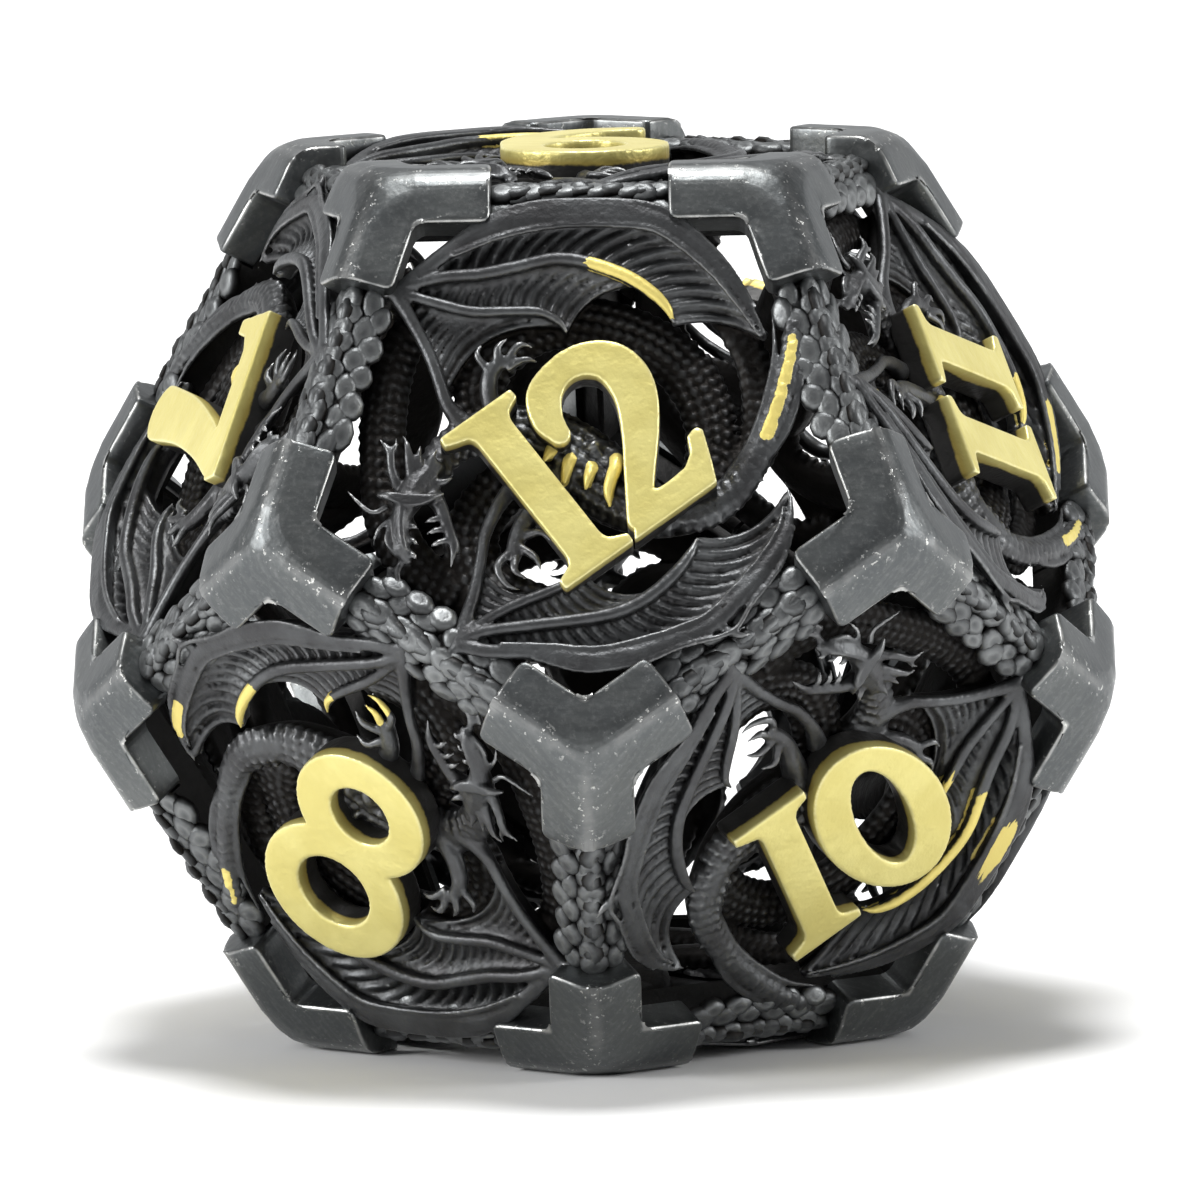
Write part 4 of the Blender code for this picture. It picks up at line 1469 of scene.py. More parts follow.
LIPS: tuple[tuple[Knot, ...], ...] = (
    (
        (-3.1, 4.66, -0.26, 0.07), (-2.0, 5.06, -0.16, 0.08), (-1.0, 5.28, -0.13, 0.09),
        (0.0, 5.36, -0.13, 0.09),
        (1.5, 5.26, -0.13, 0.09), (2.2, 4.94, -0.18, 0.09), (3.1, 4.16, -0.30, 0.08),
        (3.75, 3.35, -0.42, 0.07),
        (4.30, 2.55, -0.60, 0.04),
    ),
    (
        (-3.6, 4.70, -0.41, 0.05), (-2.4, 5.52, -0.22, 0.07), (-1.2, 5.92, -0.14, 0.08),
        (0.3, 5.98, -0.13, 0.08),
        (1.7, 5.84, -0.14, 0.08), (2.6, 5.32, -0.22, 0.08), (3.5, 4.40, -0.36, 0.07),
        (4.2, 3.30, -0.54, 0.05),
    ),
    (
        (-2.0, -5.20, -0.30, 0.06), (-0.8, -5.30, -0.22, 0.08), (0.2, -5.42, -0.14, 0.08),
        (1.0, -5.30, -0.14, 0.08),
        (2.0, -5.00, -0.18, 0.08), (2.9, -4.60, -0.24, 0.08), (3.5, -3.98, -0.30, 0.07),
        (4.15, -3.18, -0.38, 0.07),
        (4.62, -2.40, -0.46, 0.06), (4.78, -1.75, -0.56, 0.04),
    ),
    (
        (-1.2, -5.62, -0.26, 0.05), (0.0, -5.96, -0.18, 0.07), (1.35, -5.80, -0.16, 0.07),
        (2.3, -5.40, -0.20, 0.07),
        (3.5, -5.02, -0.26, 0.07), (4.0, -4.30, -0.32, 0.07), (4.72, -3.30, -0.42, 0.06),
        (5.04, -2.30, -0.52, 0.05),
    ),
)

BODY: tuple[Knot, ...] = (
    (-3.65, -0.72, -0.86, 0.36), (-3.25, -0.12, -0.98, 0.38), (-2.7, 0.28, -1.12, 0.46),
    (-1.9, 0.42, -1.26, 0.62),
    (-1.0, 0.20, -1.32, 0.84), (-0.1, -0.40, -1.32, 0.94), (0.8, -1.15, -1.28, 0.84),
    (1.7, -1.70, -1.16, 0.62),
    (2.6, -1.80, -1.04, 0.46),
)
TAIL: tuple[Knot, ...] = (
    (2.2, -1.80, -1.05, 0.50), (3.1, -1.62, -0.98, 0.44), (3.85, -1.00, -0.88, 0.31),
    (4.35, -0.10, -0.76, 0.22),
    (4.72, 0.90, -0.66, 0.19), (4.98, 1.90, -0.62, 0.17), (5.10, 2.80, -0.64, 0.14),
    (5.02, 3.60, -0.72, 0.10),
    (4.80, 4.15, -0.84, 0.05),
)
# Coils of the body deep behind the wings, held near-black by the painted depth shade, filling gaps with dark where the
# die's inside lies in shade.
SHADE_COILS: tuple[tuple[Knot, ...], ...] = (
    (
        (-1.7, 0.4, -1.38, 0.50), (-2.5, 1.3, -1.42, 0.55), (-2.1, 2.5, -1.46, 0.62),
        (-0.8, 3.3, -1.46, 0.66),
        (0.8, 3.1, -1.46, 0.66), (2.2, 2.3, -1.46, 0.64), (3.0, 0.9, -1.44, 0.60), (3.0, -0.5, -1.38, 0.54),
        (2.4, -1.5, -1.28, 0.46),
    ),
    (
        (-0.6, -0.2, -1.38, 0.60), (-1.9, -0.9, -1.42, 0.62), (-2.7, -2.1, -1.42, 0.62),
        (-2.3, -3.4, -1.36, 0.66),
        (-1.2, -4.1, -1.26, 0.68), (0.1, -4.3, -1.16, 0.60), (1.2, -4.1, -1.04, 0.36),
    ),
    (
        (-3.1, 3.4, -1.20, 0.30), (-4.1, 3.1, -1.42, 0.42), (-4.6, 2.1, -1.50, 0.48),
        (-4.8, 0.9, -1.50, 0.52),
        (-4.8, -0.5, -1.48, 0.52), (-4.6, -1.9, -1.46, 0.54), (-3.9, -3.0, -1.42, 0.52),
        (-2.6, -3.9, -1.36, 0.46),
    ),
    (
        (3.0, -1.2, -1.24, 0.36), (4.1, -0.2, -1.42, 0.42), (4.3, 1.0, -1.46, 0.42), (4.1, 2.2, -1.42, 0.38),
        (3.5, 3.2, -1.26, 0.28), (2.8, 3.9, -1.06, 0.16),
    ),
)
STRANDS: tuple[tuple[Knot, ...], ...] = (
    ((4.1, -0.9, -0.80, 0.11), (4.9, 0.2, -0.66, 0.10), (5.25, 1.4, -0.60, 0.10), (5.38, 2.6, -0.60, 0.08),
     (5.25, 3.7, -0.66, 0.05)),
    ((3.3, -1.1, -0.82, 0.10), (4.0, -0.1, -0.70, 0.11), (4.4, 1.0, -0.62, 0.10), (4.62, 2.1, -0.60, 0.08),
     (4.60, 3.2, -0.70, 0.04)),
)
HEAD: tuple[tuple[Knot, ...], ...] = (
    ((-3.50, -0.50, -0.64, 0.32), (-3.86, -0.98, -0.54, 0.38), (-4.14, -1.46, -0.42, 0.36),
     (-4.34, -1.98, -0.36, 0.24),
     (-4.35, -2.46, -0.35, 0.20), (-4.28, -2.86, -0.40, 0.18), (-4.14, -3.08, -0.50, 0.08)),
    ((-3.70, -1.20, -0.54, 0.28), (-3.40, -1.70, -0.42, 0.19), (-3.23, -2.20, -0.40, 0.15),
     (-3.08, -2.62, -0.44, 0.14),
     (-2.96, -2.86, -0.54, 0.05)),
    ((-4.94, -1.40, -0.30, 0.04), (-4.60, -1.48, -0.16, 0.13), (-4.16, -1.60, -0.16, 0.17),
     (-3.72, -1.56, -0.16, 0.14),
     (-3.28, -1.38, -0.28, 0.03)),
    ((-4.30, -1.72, -0.16, 0.09), (-4.34, -2.10, -0.16, 0.08), (-4.32, -2.52, -0.16, 0.08),
    (-4.24, -2.84, -0.24, 0.07)),
    ((-4.62, -2.14, -0.36, 0.06), (-4.68, -2.54, -0.34, 0.08), (-4.46, -2.90, -0.40, 0.07)),
    ((-4.42, -1.18, -0.40, 0.15), (-4.56, -0.74, -0.26, 0.12), (-4.60, -0.34, -0.20, 0.10),
    (-4.84, 0.02, -0.26, 0.02)),
    ((-4.60, -0.44, -0.22, 0.09), (-4.44, -0.14, -0.20, 0.06), (-4.46, 0.08, -0.24, 0.02)),
    ((-4.10, -1.00, -0.40, 0.14), (-4.14, -0.56, -0.28, 0.12), (-4.18, -0.16, -0.24, 0.08),
    (-4.30, 0.14, -0.32, 0.02)),
    ((-3.92, -0.98, -0.40, 0.13), (-3.92, -0.52, -0.30, 0.10), (-3.84, -0.08, -0.28, 0.02)),
    ((-3.70, -0.90, -0.44, 0.12), (-3.62, -0.50, -0.34, 0.09), (-3.44, -0.20, -0.36, 0.02)),
    ((-3.56, -1.06, -0.46, 0.12), (-3.28, -1.06, -0.36, 0.08), (-3.06, -0.92, -0.40, 0.02)),
    ((-4.66, -1.66, -0.36, 0.09), (-5.02, -1.82, -0.34, 0.07), (-5.38, -1.52, -0.38, 0.06),
    (-5.70, -1.12, -0.48, 0.02)),
    ((-4.56, -1.95, -0.42, 0.08), (-4.90, -2.25, -0.40, 0.06), (-5.02, -2.65, -0.46, 0.02)),
    ((-3.22, -2.40, -0.48, 0.11), (-3.10, -2.80, -0.42, 0.09), (-3.20, -3.30, -0.50, 0.02)),
    ((-4.34, -3.00, -0.54, 0.10), (-4.46, -3.36, -0.54, 0.09), (-4.22, -3.76, -0.64, 0.03)),
    ((-4.62, -3.10, -0.60, 0.08), (-4.66, -3.50, -0.62, 0.07), (-4.50, -3.84, -0.68, 0.02)),
)
TEETH: tuple[tuple[float, ...], ...] = (
    (-3.40, -1.98, -3.80, -2.10), (-3.34, -2.26, -3.76, -2.38), (-3.26, -2.54, -3.66, -2.70),
    (-4.16, -2.14, -3.92, -2.26), (-4.16, -2.50, -3.92, -2.66), (-4.14, -2.84, -3.96, -3.02),
)
PAWS: tuple[tuple[Knot, ...], ...] = (
    ((-1.9, 0.5, -0.94, 0.30), (-2.2, 1.1, -0.74, 0.24), (-2.2, 1.7, -0.64, 0.22), (-1.9, 2.1, -0.59, 0.18)),
    ((-2.2, 1.8, -0.59, 0.12), (-2.5, 2.2, -0.52, 0.09), (-2.35, 2.55, -0.54, 0.02)),
    ((-2.0, 1.9, -0.54, 0.13), (-2.0, 2.35, -0.44, 0.10), (-1.75, 2.62, -0.48, 0.02)),
    ((-1.8, 2.0, -0.54, 0.13), (-1.5, 2.40, -0.42, 0.10), (-1.15, 2.36, -0.46, 0.02)),
    ((-1.8, 1.85, -0.56, 0.12), (-1.35, 2.05, -0.44, 0.09), (-1.0, 1.95, -0.50, 0.02)),
    ((-0.4, -0.7, -0.94, 0.42), (-1.0, -1.5, -0.79, 0.32), (-1.5, -2.2, -0.69, 0.24),
    (-1.7, -2.9, -0.62, 0.20)),
    ((-1.75, -2.8, -0.59, 0.13), (-2.05, -3.2, -0.48, 0.11), (-1.85, -3.65, -0.48, 0.08),
    (-1.45, -3.8, -0.54, 0.02)),
    ((-1.6, -2.9, -0.56, 0.12), (-1.65, -3.3, -0.44, 0.10), (-1.35, -3.55, -0.46, 0.02)),
    ((-1.5, -2.7, -0.56, 0.12), (-1.15, -3.0, -0.44, 0.10), (-1.0, -3.35, -0.48, 0.02)),
    ((-1.4, -2.4, -0.59, 0.12), (-1.0, -2.35, -0.46, 0.10), (-0.72, -2.65, -0.50, 0.02)),
)
TALONS: tuple[tuple[Knot, ...], ...] = (
    ((-0.6, 0.1, -1.0, 0.20), (-0.75, -0.25, -0.62, 0.17), (-0.95, -0.55, -0.52, 0.05)),
    ((-0.2, -0.2, -1.0, 0.20), (-0.35, -0.65, -0.55, 0.17), (-0.45, -1.15, -0.48, 0.05)),
    ((0.3, -0.4, -1.0, 0.20), (0.18, -0.85, -0.55, 0.16), (0.05, -1.30, -0.50, 0.05)),
    ((0.8, -0.2, -1.0, 0.24), (0.80, -0.70, -0.52, 0.20), (0.62, -1.30, -0.45, 0.15),
    (0.65, -1.75, -0.5, 0.05)),
    ((0.5, -0.1, -1.0, 0.16), (0.30, -0.10, -0.6, 0.12), (0.1, -0.25, -0.55, 0.03)),
)
SPURS: tuple[tuple[Knot, ...], ...] = (
    ((1.1, -5.6, -0.34, 0.14), (1.42, -5.84, -0.30, 0.09), (1.72, -5.86, -0.34, 0.02)),
    ((3.3, -4.9, -0.40, 0.14), (3.66, -5.08, -0.34, 0.09), (4.02, -5.06, -0.40, 0.02)),
    ((-4.35, 4.00, -0.62, 0.16), (-4.68, 3.84, -0.60, 0.12), (-4.86, 3.98, -0.66, 0.03)),
    ((-3.0, -5.2, -0.60, 0.17), (-3.30, -5.42, -0.56, 0.11), (-3.30, -5.66, -0.62, 0.03)),
)


PAINTABLE: dict[str, tuple[Knot, ...]] = {
    "edge_a": WING_A.strokes[0], "finger_a": WING_A.strokes[1], "short_a": WING_A.strokes[2],
    "edge_b": WING_B.strokes[0], "finger_b": WING_B.strokes[1], "short_b": WING_B.strokes[2],
    "tail": TAIL, "strand": STRANDS[1], "paw": PAWS[6], "claw": PAWS[7],
    "talon_1": TALONS[0], "talon_2": TALONS[1], "talon_3": TALONS[2], "talon_4": TALONS[3],
}


@dataclass
class DragonPanels:
    """Twelve pierced panels, each one winged dragon coiled round the middle of a face."""

    body: DieBody
    casting: Casting = Casting(0.051, 3, 0.34)
    deepest: float = 1.72
    gild_reach: float = 0.06

    def web(self, draft: Draft, recipe: RibFan, wing: Wing, web: Web) -> None:
        """Add the skin between two strokes, and its ribs.

        Args:
            draft: Where the shapes go.
            recipe: The tree that spans the ribs.
            wing: The wing that the strokes belong to.
            web: Which strokes, and how the skin hangs between them.
        """
        paths = [smooth_path(wing.strokes[i], 0.1) for i in (web.near, web.far)]
        far_start, far_stop = web.far_span
        share = np.linspace(0, 1, 48) ** web.spread
        near = along_path(paths[0], web.near_span[0] + (web.near_span[1] - web.near_span[0]) * share)[:, :3]
        far = along_path(paths[1], np.linspace(0, 1, 48) * (far_stop - far_start) + far_start)[:, :3]
        down = np.linspace(0, 1, 13)[None, :, None]
        arch = 4 * down * (1 - down)
        across = far - near
        sideways = np.cross(across, (0.0, 0.0, 1.0))
        top = near[:, None] * (1 - down) + far[:, None] * down + sideways[:, None] * arch * web.bow
        top[..., 2] -= wing.skin_drop + (arch * web.sag)[..., 0]
        draft.slab(top, wing.skin)
        sides = (self.even(paths[0], web.near_span), self.even(paths[1], web.far_span))
        guides = guide_mesh(sides, "rib_lines", "far_side", (0.0, 1.0))
        ribs = recipe.run(
            guides,
            {
                "Count": web.ribs,
                "Bow": web.bow,
                "Sag": web.sag,
                "Lift": 0.03 - wing.skin_drop,
                "Thickness": web.rib,
                "Spread": web.spread,
            },
        )
        draft.take_mesh(ribs)

    @staticmethod
    def even(path: np.ndarray, span: Point) -> np.ndarray:
        """The part of a path between two shares of its length."""
        return along_path(path, np.linspace(span[0], span[1], 60))[:, :3]

    def spines(self, draft: Draft) -> None:
        """Add the rows of spikes down the back and the tail."""
        for path, side, count, size in (
            (smooth_path(TAIL, 0.1), 1.0, 11, 0.30),
            (smooth_path(TAIL, 0.1), -1.0, 9, 0.34),
            (smooth_path(BODY, 0.1), 1.0, 12, 0.30),
        ):
            spots = along_path(path, np.linspace(0.06, 0.92, count))
            ahead = along_path(path, np.linspace(0.06, 0.92, count) + 0.02)
            for spot, nxt in zip(spots, ahead):
                along = (nxt - spot)[:2] / max(np.linalg.norm((nxt - spot)[:2]), 1e-6)
                out = np.array((-along[1], along[0])) * side
                root = spot[:2] + out * spot[3] * 0.6
                tip = root + out * size * (0.5 + spot[3]) + along * 0.12
                high = spot[2] + spot[3] * 0.45
                draft.tube(
                    ((*root, high - 0.05, 0.10), (*(root * 0.4 + tip * 0.6), high + 0.02, 0.065), (*tip, high, 0.015)),
                    sides=6,
                )

    def hide(self, draft: Draft, recipe: ScaleRows, shape: bpy.types.Object) -> None:
        """Cover the body and the tail in small scales."""
        lines, outward = [], []
        for knots, rows in ((BODY, 7), (TAIL, 5), *((coil, 6) for coil in SHADE_COILS)):
            path = smooth_path(knots, 0.1)
            along = np.gradient(path[:, :2], axis=0)
            along /= np.linalg.norm(along, axis=1)[:, None]
            for row in range(rows):
                turn = math.radians(-65 + 130 * row / (rows - 1))
                side, over = math.sin(turn), math.cos(turn)
                line = path[:, :3].copy()
                line[:, 0] += -along[:, 1] * side * path[:, 3]
                line[:, 1] += along[:, 0] * side * path[:, 3]
                line[:, 2] += over * path[:, 3] * (0.72 if knots in (BODY, TAIL) else 0.42)
                cut = slice(2, -6)
                lines.append(line[cut] if row % 2 else line[cut][1:])
                mid = len(path) // 2
                outward.append((-along[mid, 1] * side, along[mid, 0] * side, over))
        scales = recipe.run(
            guide_mesh(lines, "hide_lines", "outward", outward),
            {
                "Scale Shape": shape,
                "Pitch": 0.27,
                "Length": 0.34,
                "Width": 0.28,
                "Height": 0.20,
                "Unevenness": 0.12,
                "Tilt": -0.25,
                "Seed": 5,
            },
        )
        draft.take_mesh(scales)

    def draft(self, shape: bpy.types.Object) -> Draft:
        """Put one dragon's shapes together."""
        draft = Draft()
        fan, rows = RibFan(), ScaleRows()
        for wing in (WING_A, WING_B):
            for order, stroke in enumerate(wing.strokes):
                draft.tube(stroke, flat=0.62 if order == 0 else 0.9)
            for web in wing.webs:
                self.web(draft, fan, wing, web)
        for stroke in (*LIPS, *STRANDS, *PAWS, *TALONS, *SPURS, *HEAD):
            draft.tube(stroke, flat=0.95, sides=8, step=0.08)
        draft.tube(BODY, flat=0.72, sides=14)
        draft.tube(TAIL, flat=0.9, sides=12)
        for coil in SHADE_COILS:
            draft.tube(coil, flat=0.42, sides=12)
        for x, y, tip_x, tip_y in TEETH:
            mid = ((x + tip_x) / 2, (y + tip_y) / 2, -0.30, 0.085)
            draft.tube(((x, y, -0.38, 0.09), mid, (tip_x, tip_y, -0.36, 0.03)), sides=8, step=0.06)
        self.spines(draft)
        self.hide(draft, rows, shape)
        return draft

    def mesh(self, shape: bpy.types.Object) -> bpy.types.Mesh:
        """Cast one dragon, and note its crests and hollows."""
        mesh = self.casting.fuse(self.draft(shape), "dragon")
        points = points_of(mesh)
        points[:, 2] = points[:, 2].clip(-self.deepest, -0.06)
        mesh.vertices.foreach_set("co", points.ravel())
        mesh.update()
        out = bulge(mesh, 1)
        # Crests deeper in the relief get less of their highlight: painted shade with depth.
        store(mesh, "crest", (out * 2.6).clip(0, 1) * ((points[:, 2] + 1.12) / 0.4).clip(0.05, 1))
        # Hollow value: dark patina in concave spots, plus painted shade that deepens below 0.78 mm under the face.
        deep = ((-points[:, 2] - 0.78) / 0.34).clip(0, 1)
        store(mesh, "hollow", (-out * 3.0 + deep * 0.9).clip(0, 1))
        mesh.shade_smooth()
        return mesh

    def gilt(
        self, points: np.ndarray, normals: np.ndarray, marks: Sequence[tuple[str, float, float]]
    ) -> np.ndarray:
        """How much gold paint strayed onto each point of a panel.

        Args:
            points: The panel's points.
            normals: Their outward directions.
            marks: Strokes that caught paint, and from where to where.

        Returns:
            A share for each point.
        """
        found = np.zeros(len(points))
        for name, start, stop in marks:
            path = smooth_path(PAINTABLE[name], 0.1)
            for x, y, z, width in along_path(path, np.linspace(start, stop, 40)):
                reach = width * 0.62 + self.gild_reach
                gap = np.hypot(points[:, 0] - x, points[:, 1] - y) / reach
                level = np.abs(points[:, 2] - z) / (width + self.gild_reach)
                found = np.maximum(found, (1.25 - gap**2).clip(0, 1) * (1.6 - level).clip(0, 1))
        return found * (normals[:, 2] > -0.2)

    def build(self, faces: Sequence[Face], shape: bpy.types.Object) -> Iterator[bpy.types.Object]:
        """Make a panel for each face."""
        mesh = self.mesh(shape)
        points, normals = points_of(mesh), normals_of(mesh)
        finish = DRAGON_METAL.material()
        for face in faces:
            painted = mesh.copy()
            store(painted, "gilt", self.gilt(points, normals, face.gilding))
            name = f"dragon_relief_{face.number:02d}"
            piece = set_piece(name, painted, self.body.face_place(face), finish)
            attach(piece, "root")
            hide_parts(f"dragon_panel_{face.number:02d}")
            yield piece


# --------------------------------------------------------------- raised digits


@dataclass
class GoldDigits:
    """The raised serif digits, drawn one unit high on a baseline at -0.5."""

    body: DieBody
    single: float = 6.50
    double: float = 4.90
    spacing: float = 2.50
    top: float = -0.03
    plate: float = 0.86
    stem: float = 0.102
    casting: Casting = Casting(0.055, 4, 0.5)

    def band(self, draft: Draft, knots: Sequence[tuple[float, float, float]], scale: float) -> None:
        """Raise a stroke with a changing half width."""
        path = smooth_path(knots, 0.03)
        along = np.gradient(path[:, :2], axis=0)
        along /= np.linalg.norm(along, axis=1)[:, None]
        across = np.stack([-along[:, 1], along[:, 0]], axis=1) * path[:, 2:]
        left = (path[:, :2] + across) * scale
        right = (path[:, :2] - across) * scale
        grid = np.stack([left, right], axis=1)
        top = np.concatenate([grid, np.full((*grid.shape[:2], 1), self.top)], axis=2)
        draft.slab(top, self.plate)
        for end in (path[0], path[-1]):
            self.disc(draft, end[0], end[1], end[2], scale)

    def disc(self, draft: Draft, x: float, y: float, radius: float, scale: float) -> None:
        """Raise a round end."""
        turn = np.linspace(0, 2 * math.pi, 20, endpoint=False)
        outline = [(scale * (x + radius * math.cos(t)), scale * (y + radius * math.sin(t))) for t in turn]
        draft.prism(outline, self.top - self.plate, self.top)

    def plain(self, draft: Draft, outline: Sequence[Point], scale: float) -> None:
        """Raise a plain outline."""
        draft.prism([(x * scale, y * scale) for x, y in outline], self.top - self.plate, self.top)

    def loop(
        self, draft: Draft, centre: Point, outer: Point, inner: Point, scale: float, lean: Point = (0.0, 0.0)
    ) -> None:
        """Raise a ring between two ovals."""
        turn = np.linspace(0, 2 * math.pi, 48, endpoint=False)

        def oval(radii: Point, slope: float) -> np.ndarray:
            """Points round one oval."""
            y = radii[1] * np.sin(turn)
            return np.stack([centre[0] + radii[0] * np.cos(turn) + slope * y, centre[1] + y], axis=1) * scale

        draft.ring_prism(oval(outer, lean[0]), oval(inner, lean[1]), self.top - self.plate, self.top)

    def serif(
        self, draft: Draft, x: float, y: float, rise: float, left: float, right: float, scale: float
    ) -> None:
        """Raise a bracketed foot across the end of an upright stroke."""
        s = self.stem
        outline = [
            (x - left, y), (x + right, y), (x + right + 0.004, y + rise * 0.72), (x + right * 0.82, y + rise * 0.95),
            (x + s * 1.15, y + rise * 1.25), (x + s * 0.98, y + rise * 2.0), (x - s * 0.98, y + rise * 2.0),
            (x - s * 1.15, y + rise * 1.25), (x - left * 0.82, y + rise * 0.95), (x - left - 0.004, y + rise * 0.72),
        ]
        self.plain(draft, outline, scale)

    def shape(self, digit: int, size: float) -> Draft:
        """Put one digit's shapes together."""
        draft = Draft()
        s = self.stem
        if digit == 0:
            self.loop(draft, (0, 0), (0.34, 0.535), (0.138, 0.355), size, lean=(-0.14, -0.05))
        elif digit == 1:
            self.plain(draft, [(-s, -0.45), (s, -0.45), (s, 0.45), (-s, 0.45)], size)
            self.serif(draft, 0, 0.5, -0.075, 0.235, 0.195, size)
            self.serif(draft, 0, -0.5, 0.075, 0.205, 0.205, size)
        elif digit == 2:
            self.band(draft, (
                (-0.262, 0.165, 0.055), (-0.262, 0.26, 0.078), (-0.205, 0.37, 0.088), (-0.085, 0.425, 0.076),
                (0.045, 0.415, 0.084), (0.150, 0.335, 0.102), (0.180, 0.22, 0.112), (0.150, 0.09, 0.106),
                (0.06, -0.06, 0.092), (-0.07, -0.23, 0.076), (-0.215, -0.42, 0.06),
            ), size)
            self.plain(draft, [
                (-0.30, -0.5), (0.20, -0.5), (0.245, -0.40), (0.31, -0.235), (0.285, -0.205), (0.225, -0.22),
                (0.185, -0.30), (0.12, -0.345), (0.0, -0.352), (-0.13, -0.345), (-0.22, -0.38),
            ], size)
        elif digit == 3:
            self.band(draft, (
                (-0.225, 0.33, 0.06), (-0.15, 0.42, 0.075), (0.0, 0.43, 0.07), (0.14, 0.36, 0.095),
                (0.16, 0.22, 0.1), (0.06, 0.10, 0.07), (-0.04, 0.06, 0.05),
            ), size)
            self.band(draft, (
                (-0.04, 0.06, 0.05), (0.10, 0.02, 0.08), (0.20, -0.12, 0.115), (0.15, -0.32, 0.1),
                (0.0, -0.43, 0.07), (-0.16, -0.41, 0.08), (-0.25, -0.30, 0.075),
            ), size)
        elif digit == 4:
            self.plain(draft, [(0.03, -0.45), (0.225, -0.45), (0.225, 0.5), (0.07, 0.5), (0.03, 0.40)], size)
            self.band(draft, ((0.10, 0.44, 0.06), (-0.08, 0.15, 0.05), (-0.30, -0.14, 0.05)), size)
            self.plain(draft, [(-0.36, -0.25), (0.36, -0.25), (0.36, -0.12), (-0.36, -0.12)], size)
            self.serif(draft, 0.128, -0.5, 0.07, 0.2, 0.2, size)
        elif digit == 5:
            flag = [(-0.22, 0.5), (0.20, 0.5), (0.27, 0.56), (0.28, 0.42), (0.20, 0.36), (-0.22, 0.36)]
            self.plain(draft, flag, size)
            self.plain(draft, [(-0.23, 0.46), (-0.13, 0.46), (-0.15, 0.05), (-0.25, 0.0)], size)
            self.band(draft, (
                (-0.20, 0.02, 0.05), (-0.05, 0.07, 0.07), (0.12, 0.02, 0.09), (0.20, -0.16, 0.12),
                (0.13, -0.35, 0.1), (-0.02, -0.43, 0.07), (-0.18, -0.41, 0.075), (-0.26, -0.30, 0.07),
            ), size)
        elif digit == 7:
            self.plain(draft, [
                (-0.34, 0.5), (0.35, 0.5), (0.35, 0.40), (0.24, 0.345), (-0.20, 0.345), (-0.27, 0.30),
                (-0.30, 0.21), (-0.36, 0.22),
            ], size)
            leg = ((0.27, 0.43, 0.075), (0.13, 0.20, 0.085), (0.0, -0.08, 0.10), (-0.10, -0.40, 0.115))
            self.band(draft, leg, size)
        elif digit == 8:
            self.loop(draft, (0, 0.235), (0.282, 0.274), (0.128, 0.124), size)
            self.loop(draft, (0, -0.205), (0.310, 0.302), (0.158, 0.154), size)
        else:
            flip = 1 if digit == 6 else -1
            self.loop(draft, (0, -0.19 * flip), (0.32, 0.31), (0.155, 0.175), size)
            self.band(draft, [(x * flip, y * flip, w) for x, y, w in (
                (-0.235, -0.15, 0.085), (-0.235, 0.05, 0.085), (-0.16, 0.26, 0.08), (0.0, 0.41, 0.068),
                (0.17, 0.46, 0.05),
            )], size)
        return draft

    def cast(self, digit: int, size: float) -> bpy.types.Mesh:
        """Cast one digit, and note its rounded corners and its walls."""
        mesh = self.casting.fuse(self.shape(digit, size), f"digit_{digit}")
        points = points_of(mesh)
        out = bulge(mesh, 1)
        store(mesh, "crest", (out * 3.0).clip(0, 1))
        store(mesh, "depth", self.top - points[:, 2])
        mesh.shade_smooth()
        return mesh

    def build(self, faces: Sequence[Face]) -> Iterator[bpy.types.Object]:
        """Make and place every digit."""
        finish = GOLD.material()
        made: dict[tuple[int, float], bpy.types.Mesh] = {}
        for face in faces:
            digits = [int(c) for c in str(face.number)]
            size = self.single if len(digits) == 1 else self.double
            turn, right, up = face.reading.value
            for order, digit in enumerate(digits):
                if (digit, size) not in made:
                    made[digit, size] = self.cast(digit, size)
                offset = 0.0 if len(digits) == 1 else self.spacing * (order - 0.5)
                spin = Matrix.Rotation(math.radians(turn - 90), 4, "Z")
                shift = spin @ Matrix.Translation((right + offset, up, 0))
                mark = f"{face.number:02d}" + ("ab"[order] if len(digits) > 1 else "")
                place = self.body.face_place(face) @ shift
                piece = set_piece(f"gold_digit_{mark}", made[digit, size], place, finish)
                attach(piece, "root")
                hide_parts(f"digit_{mark}")
                yield piece


# ----------------------------------------------------------------------- studio


